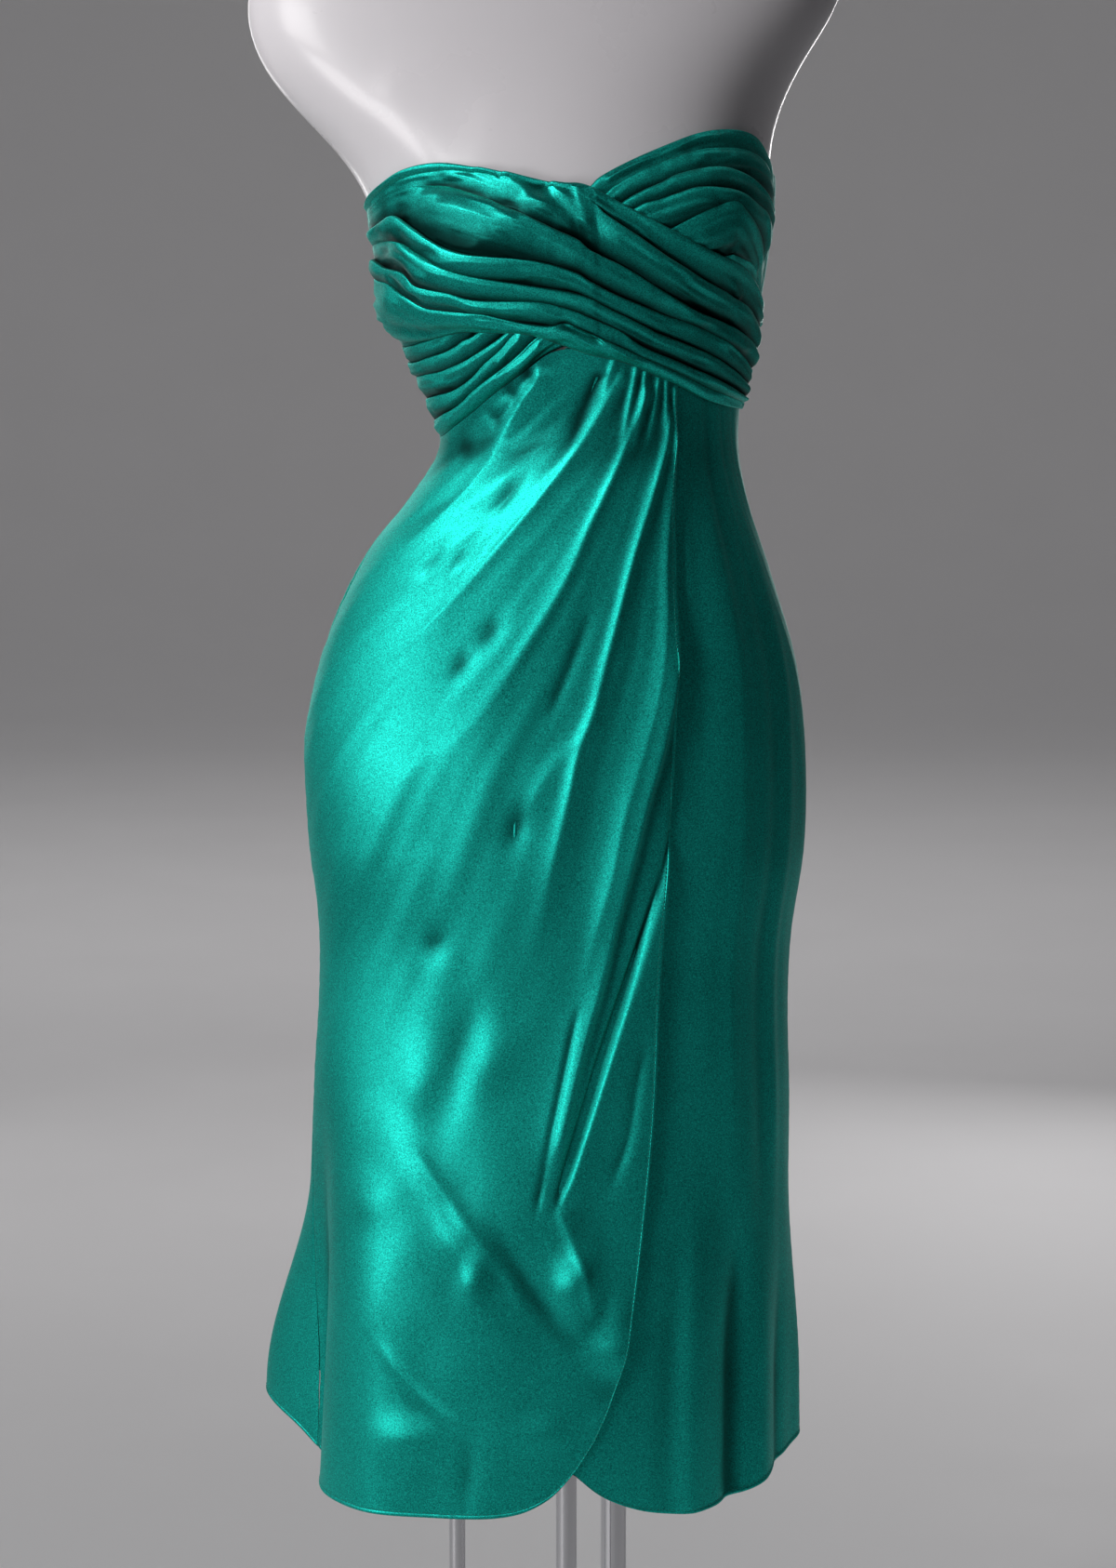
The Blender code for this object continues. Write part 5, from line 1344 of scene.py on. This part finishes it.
class DRESS_OT_skirt_backs(bpy.types.Operator):
    """Hang the two back panels of the skirt, with their hems"""
    bl_idname = "dress.skirt_backs"
    bl_label = "Skirt backs"

    def execute(self, context):
        for label, side in (("back_left", 1), ("back_right", -1)):
            outer, normal = back_skirt_grid(side)
            skirt_panel(context, f"skirt_{label}_cloth", outer, normal, label, outer[0], outer[1], normal[0],
                        f"skirt_{label}")
        return {'FINISHED'}


class DRESS_OT_zip(bpy.types.Operator):
    """Finish the zip: its tape, its teeth, the slider and the pull"""
    bl_idname = "dress.zip"
    bl_label = "Back zip"

    def execute(self, context):
        colour = tinted(context.scene.dress.satin_colour, 0.6)
        tape = finished("zip_tape_cloth", colour, tinted(colour, 0.6))
        nylon = finished("zip_teeth_nylon", tinted(colour, 1.1), colour)
        enamel = finished("zip_enamel", (0.09, 0.36, 0.33), (0.05, 0.25, 0.23))
        build_zip_teeth(context.scene.dress, nylon)
        build_zip_tape(context.scene.dress, tape)
        rounded_copy("zip_slider", "slider_body", 0.00035, enamel, WORN)
        rounded_copy("zip_pull", "pull_tab_body", 0.00025, enamel, "pull_tab")
        return {'FINISHED'}


ZIP_TAPE = 0.3          # thickness of the tape
TAPE_UNDER = 0.15       # clear height between the tape and the panels over it
TAPE_RISE = 1.8         # crest of the tape over the figure, under the teeth
TAPE_WIDE = 8.0
TEETH_RISE = 2.1
TOOTH_SIZE = (0.0016, 0.0010, 0.0010)   # metres
TOOTH_OFF_CENTRE = -0.0010


def build_zip_tape(settings, tape):
    """The woven tape, from under one back panel, over the line of the teeth, to under the other."""
    levels = np.linspace(ZIP_BOTTOM - 32, NECKLINE_BACK - 0.6, 150)
    below = settings.cloth * 1000 + TAPE_UNDER
    edges = []
    for side, columns in ((1, (-4, -1)), (-1, (-1, -4))):
        panels = back_skirt_grid(side), bodice_back_grid(side)
        for column_at in columns:
            line = np.vstack([outer[:, column_at] - normal[:, column_at] * below
                              for outer, normal in panels])
            edge = at_lengths(line, line[:, 2], levels)
            edge[:, 2] = levels
            edges.append(edge)
    left_far, left, right, right_far = edges
    angle = np.full_like(levels, 180.0)
    normal = outward(angle, levels)
    crest = figure(angle, levels) + normal * TAPE_RISE
    raised = ease((levels - ZIP_BOTTOM + 4) / 8)[:, None]
    lines = [left_far, left]
    for share in (0.75, 0.5, 0.25):
        flat = left * share + right * (1 - share)
        lines.append(flat + raised * (crest + np.array([(share - 0.5) * TAPE_WIDE, 0, 0]) - flat))
    outer = np.stack(lines + [right, right_far], axis=1)
    normal = np.repeat(normal[:, None], outer.shape[1], axis=1)
    piece = cloth_piece("zip_tape_strip", outer, normal, ZIP_TAPE, tape, np.zeros(outer.shape[:2]),
                        upright=True)
    declare(piece, "zip_chain")


def build_zip_teeth(settings, nylon):
    """One tooth shaped from a block, and copies of it up both sides of the zip."""
    select_only()
    bpy.ops.mesh.primitive_cube_add(size=1.0)
    tooth = bpy.context.object
    edit_all(tooth)
    bpy.ops.transform.resize(value=TOOTH_SIZE)
    bpy.ops.transform.translate(value=(TOOTH_OFF_CENTRE, 0, 0))
    select_faces(tooth, lambda face: face.normal.x > 0.9)
    bpy.ops.mesh.inset(thickness=0.00015)
    push(0.0004, 0, 0)
    bpy.ops.transform.resize(value=(1.0, 0.8, 0.7))
    bpy.ops.object.mode_set(mode='OBJECT')
    bevelled(tooth, 0.00012, 1)
    levels = np.arange(ZIP_BOTTOM + 8, ZIP_TOP - 1, settings.tooth_pitch * 1000)
    angle = np.full_like(levels, 180.0)
    normal = outward(angle, levels)
    place = (figure(angle, levels) + normal * TEETH_RISE) * MM
    way = unit(np.gradient(place, axis=0))
    across = np.cross(normal, way)
    teeth = []
    for i, (p, x, y, z) in enumerate(zip(place, across, normal, way)):
        turn = 1 if i % 2 else -1
        copy = tooth.copy()
        copy.data = tooth.data.copy()
        turned = np.stack([turn * x, y, turn * z], axis=1)
        copy.matrix_world = Matrix([(*row, at) for row, at in zip(turned, p)] + [(0, 0, 0, 1)])
        bpy.context.scene.collection.objects.link(copy)
        teeth.append(copy)
    bpy.data.objects.remove(tooth)
    select_only(*teeth)
    bpy.ops.object.join()
    settle(teeth[0], "zip_teeth", nylon, WORN)


def rounded_copy(node, name, width, material, body):
    """A copy of a small metal node with its faces merged and its edges rounded."""
    piece = new_object(name, bpy.data.objects[node].data.copy())
    edit_all(piece)
    bpy.ops.mesh.remove_doubles(threshold=0.00001)
    bpy.ops.mesh.dissolve_limited(angle_limit=radians(2))
    bpy.ops.object.mode_set(mode='OBJECT')
    bevelled(piece, width, 2)
    settle(piece, name, material, body)
    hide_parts(node)


class DRESS_OT_form(bpy.types.Operator):
    """Smooth the moulded form that wears the dress"""
    bl_idname = "dress.form"
    bl_label = "Form"

    def execute(self, context):
        colour = tuple(context.scene.stand.form_colour)
        shell = finished("form_gloss", colour, tinted(colour, 0.965))
        fill(shell.node_tree.nodes["Principled BSDF"], Coat_Weight=0.25, Coat_Roughness=0.12)
        form = new_object("form_shell", bpy.data.objects["form_torso"].data.copy())
        edit_all(form)
        bpy.ops.mesh.remove_doubles(threshold=0.00002)
        bpy.ops.mesh.tris_convert_to_quads(face_threshold=radians(60), shape_threshold=radians(60))
        bpy.ops.object.mode_set(mode='OBJECT')
        smooth = form.modifiers.new("smooth", 'SUBSURF')
        smooth.levels = 2
        smooth.render_levels = 2
        bpy.ops.object.modifier_apply(modifier=smooth.name)
        shrink_under_cloth(form)
        settle(form, "form_shell", shell, WORN, angle=60)
        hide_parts("form_torso")
        return {'FINISHED'}


def shrink_under_cloth(form):
    """Draw the form in a little where the dress covers it, so that it stays under the cloth."""
    edit_all(form)
    select_faces(form, lambda face: face.calc_center_median().z < COVERED_BELOW)
    bpy.ops.transform.shrink_fatten(value=-UNDER_CLOTH)
    bpy.ops.object.mode_set(mode='OBJECT')


class DRESS_OT_stand(bpy.types.Operator):
    """Make the three rods and the round base"""
    bl_idname = "dress.stand"
    bl_label = "Stand"

    def execute(self, context):
        chrome = finished("rod_chrome", (0.82, 0.82, 0.84), (0.72, 0.72, 0.75))
        colour = tuple(context.scene.stand.steel_colour)
        steel = finished("plate_steel", colour, tinted(colour, 0.8))
        for name, x, y, radius in RODS:
            build_rod(name, x, y, radius, chrome)
        low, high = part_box("base_plate")
        plate = add_disc(0, 0, low[2], (high[0] - low[0]) / 2, 128)
        push(0, 0, high[2] - low[2])
        finish_edit(plate, 0.0016, 4)
        settle(plate, "base_disc", steel, WORN)
        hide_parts("base_plate")
        return {'FINISHED'}


# The floor is level out to its radius, and turns up slowly beyond: rise and widening, in metres.
FLOOR_RADIUS = 8.0
FLOOR_RIM = ((0.03, 1.08), (0.09, 1.07), (0.18, 1.06), (0.30, 1.05), (0.45, 1.04), (0.6, 1.03), (0.8, 1.02),
             (1.0, 1.01), (3.5, 1.0))


class DRESS_OT_stage(bpy.types.Operator):
    """Set the pale floor, the soft lights and the camera"""
    bl_idname = "dress.stage"
    bl_label = "Stage"

    def execute(self, context):
        stage = context.scene.stage
        floor = add_disc(0, 0, 0, FLOOR_RADIUS, 96)
        for rise, share in FLOOR_RIM:
            push(0, 0, rise)
            widen(share)
        bpy.ops.object.mode_set(mode='OBJECT')
        floor.name = "floor"
        colour = tuple(stage.floor_colour)
        floor.data.materials.append(finished("pale_floor", colour, tinted(colour, 0.96)))
        floor.data.shade_smooth()
        world = bpy.data.worlds.new("studio")
        world.use_nodes = True
        fill(world.node_tree.nodes["Background"], Color=(0.55, 0.57, 0.60, 1.0), Strength=0.002)
        context.scene.world = world
        soft_light("main", (-2.4, -1.4, 2.0), (0, 0, 0.95), (1.0, 1.0), stage.main_power, 120)
        soft_light("low", (-2.3, -1.7, 0.8), (0, 0, 0.70), (0.9, 0.9), stage.low_power, 120)
        soft_light("boom", (-1.5, -0.8, 2.6), (0, 0, 1.15), (0.7, 0.6), stage.boom_power, 90)
        soft_light("backdrop", (0, 3.6, 3.8), (0, 6.8, 0.4), (5.0, 2.0), stage.backdrop_power, 170)
        soft_light("rim_left", (-1.1, 2.6, 1.5), (0, 0, 0.86), (0.25, 1.8), stage.rim_power * 0.5, 180)
        soft_light("rim_right", (1.1, 2.6, 1.5), (0, 0, 0.86), (0.25, 1.8), stage.rim_power, 180)
        data = bpy.data.cameras.new("camera")
        data.lens = 118.2
        data.sensor_width = 36.0
        data.sensor_fit = 'HORIZONTAL'
        context.scene.camera = aimed("camera", data, (-0.2698, -2.5673, 1.15), (0, 0, 0.84))
        return {'FINISHED'}


def aimed(name, data, place, aim):
    """A light or camera at a place, turned to its aim."""
    item = new_object(name, data)
    item.location = place
    item.rotation_euler = (Vector(aim) - item.location).to_track_quat('-Z', 'Y').to_euler()
    return item


def soft_light(name, place, aim, size, power, spread):
    """A rectangular soft light, its cone spread degrees wide."""
    data = bpy.data.lights.new(name, 'AREA')
    data.shape = 'RECTANGLE'
    data.size, data.size_y = size
    data.energy = power
    data.color = (1.0, 0.98, 0.98)
    data.spread = radians(spread)
    aimed(name, data, place, aim)


class DRESS_PT_panel(bpy.types.Panel):
    """Buttons and settings for the dress, its stand and the stage"""
    bl_idname = "DRESS_PT_panel"
    bl_label = "Draped Satin Dress"
    bl_space_type = 'VIEW_3D'
    bl_region_type = 'UI'
    bl_category = "Dress"

    def draw(self, context):
        layout = self.layout
        for group in (context.scene.dress, context.scene.stand, context.scene.stage):
            box = layout.box()
            for name in group.__annotations__:
                box.prop(group, name)
        for step in STEPS:
            layout.operator(step.bl_idname)


STEPS = (DRESS_OT_wraps, DRESS_OT_bodice_backs, DRESS_OT_skirt_fronts, DRESS_OT_skirt_backs, DRESS_OT_zip,
         DRESS_OT_form, DRESS_OT_stand, DRESS_OT_stage)
CLASSES = (DressSettings, StandSettings, StageSettings) + STEPS + (DRESS_PT_panel,)


def register():
    for item in CLASSES:
        bpy.utils.register_class(item)
    bpy.types.Scene.dress = bpy.props.PointerProperty(type=DressSettings)
    bpy.types.Scene.stand = bpy.props.PointerProperty(type=StandSettings)
    bpy.types.Scene.stage = bpy.props.PointerProperty(type=StageSettings)


def unregister():
    del bpy.types.Scene.stage
    del bpy.types.Scene.stand
    del bpy.types.Scene.dress
    for item in reversed(CLASSES):
        bpy.utils.unregister_class(item)


def main():
    register()
    bpy.ops.dress.wraps()
    bpy.ops.dress.bodice_backs()
    bpy.ops.dress.skirt_fronts()
    bpy.ops.dress.skirt_backs()
    bpy.ops.dress.zip()
    bpy.ops.dress.form()
    bpy.ops.dress.stand()
    bpy.ops.dress.stage()
    bpy.context.scene.view_settings.view_transform = 'Standard'


if __name__ == "__main__":
    main()
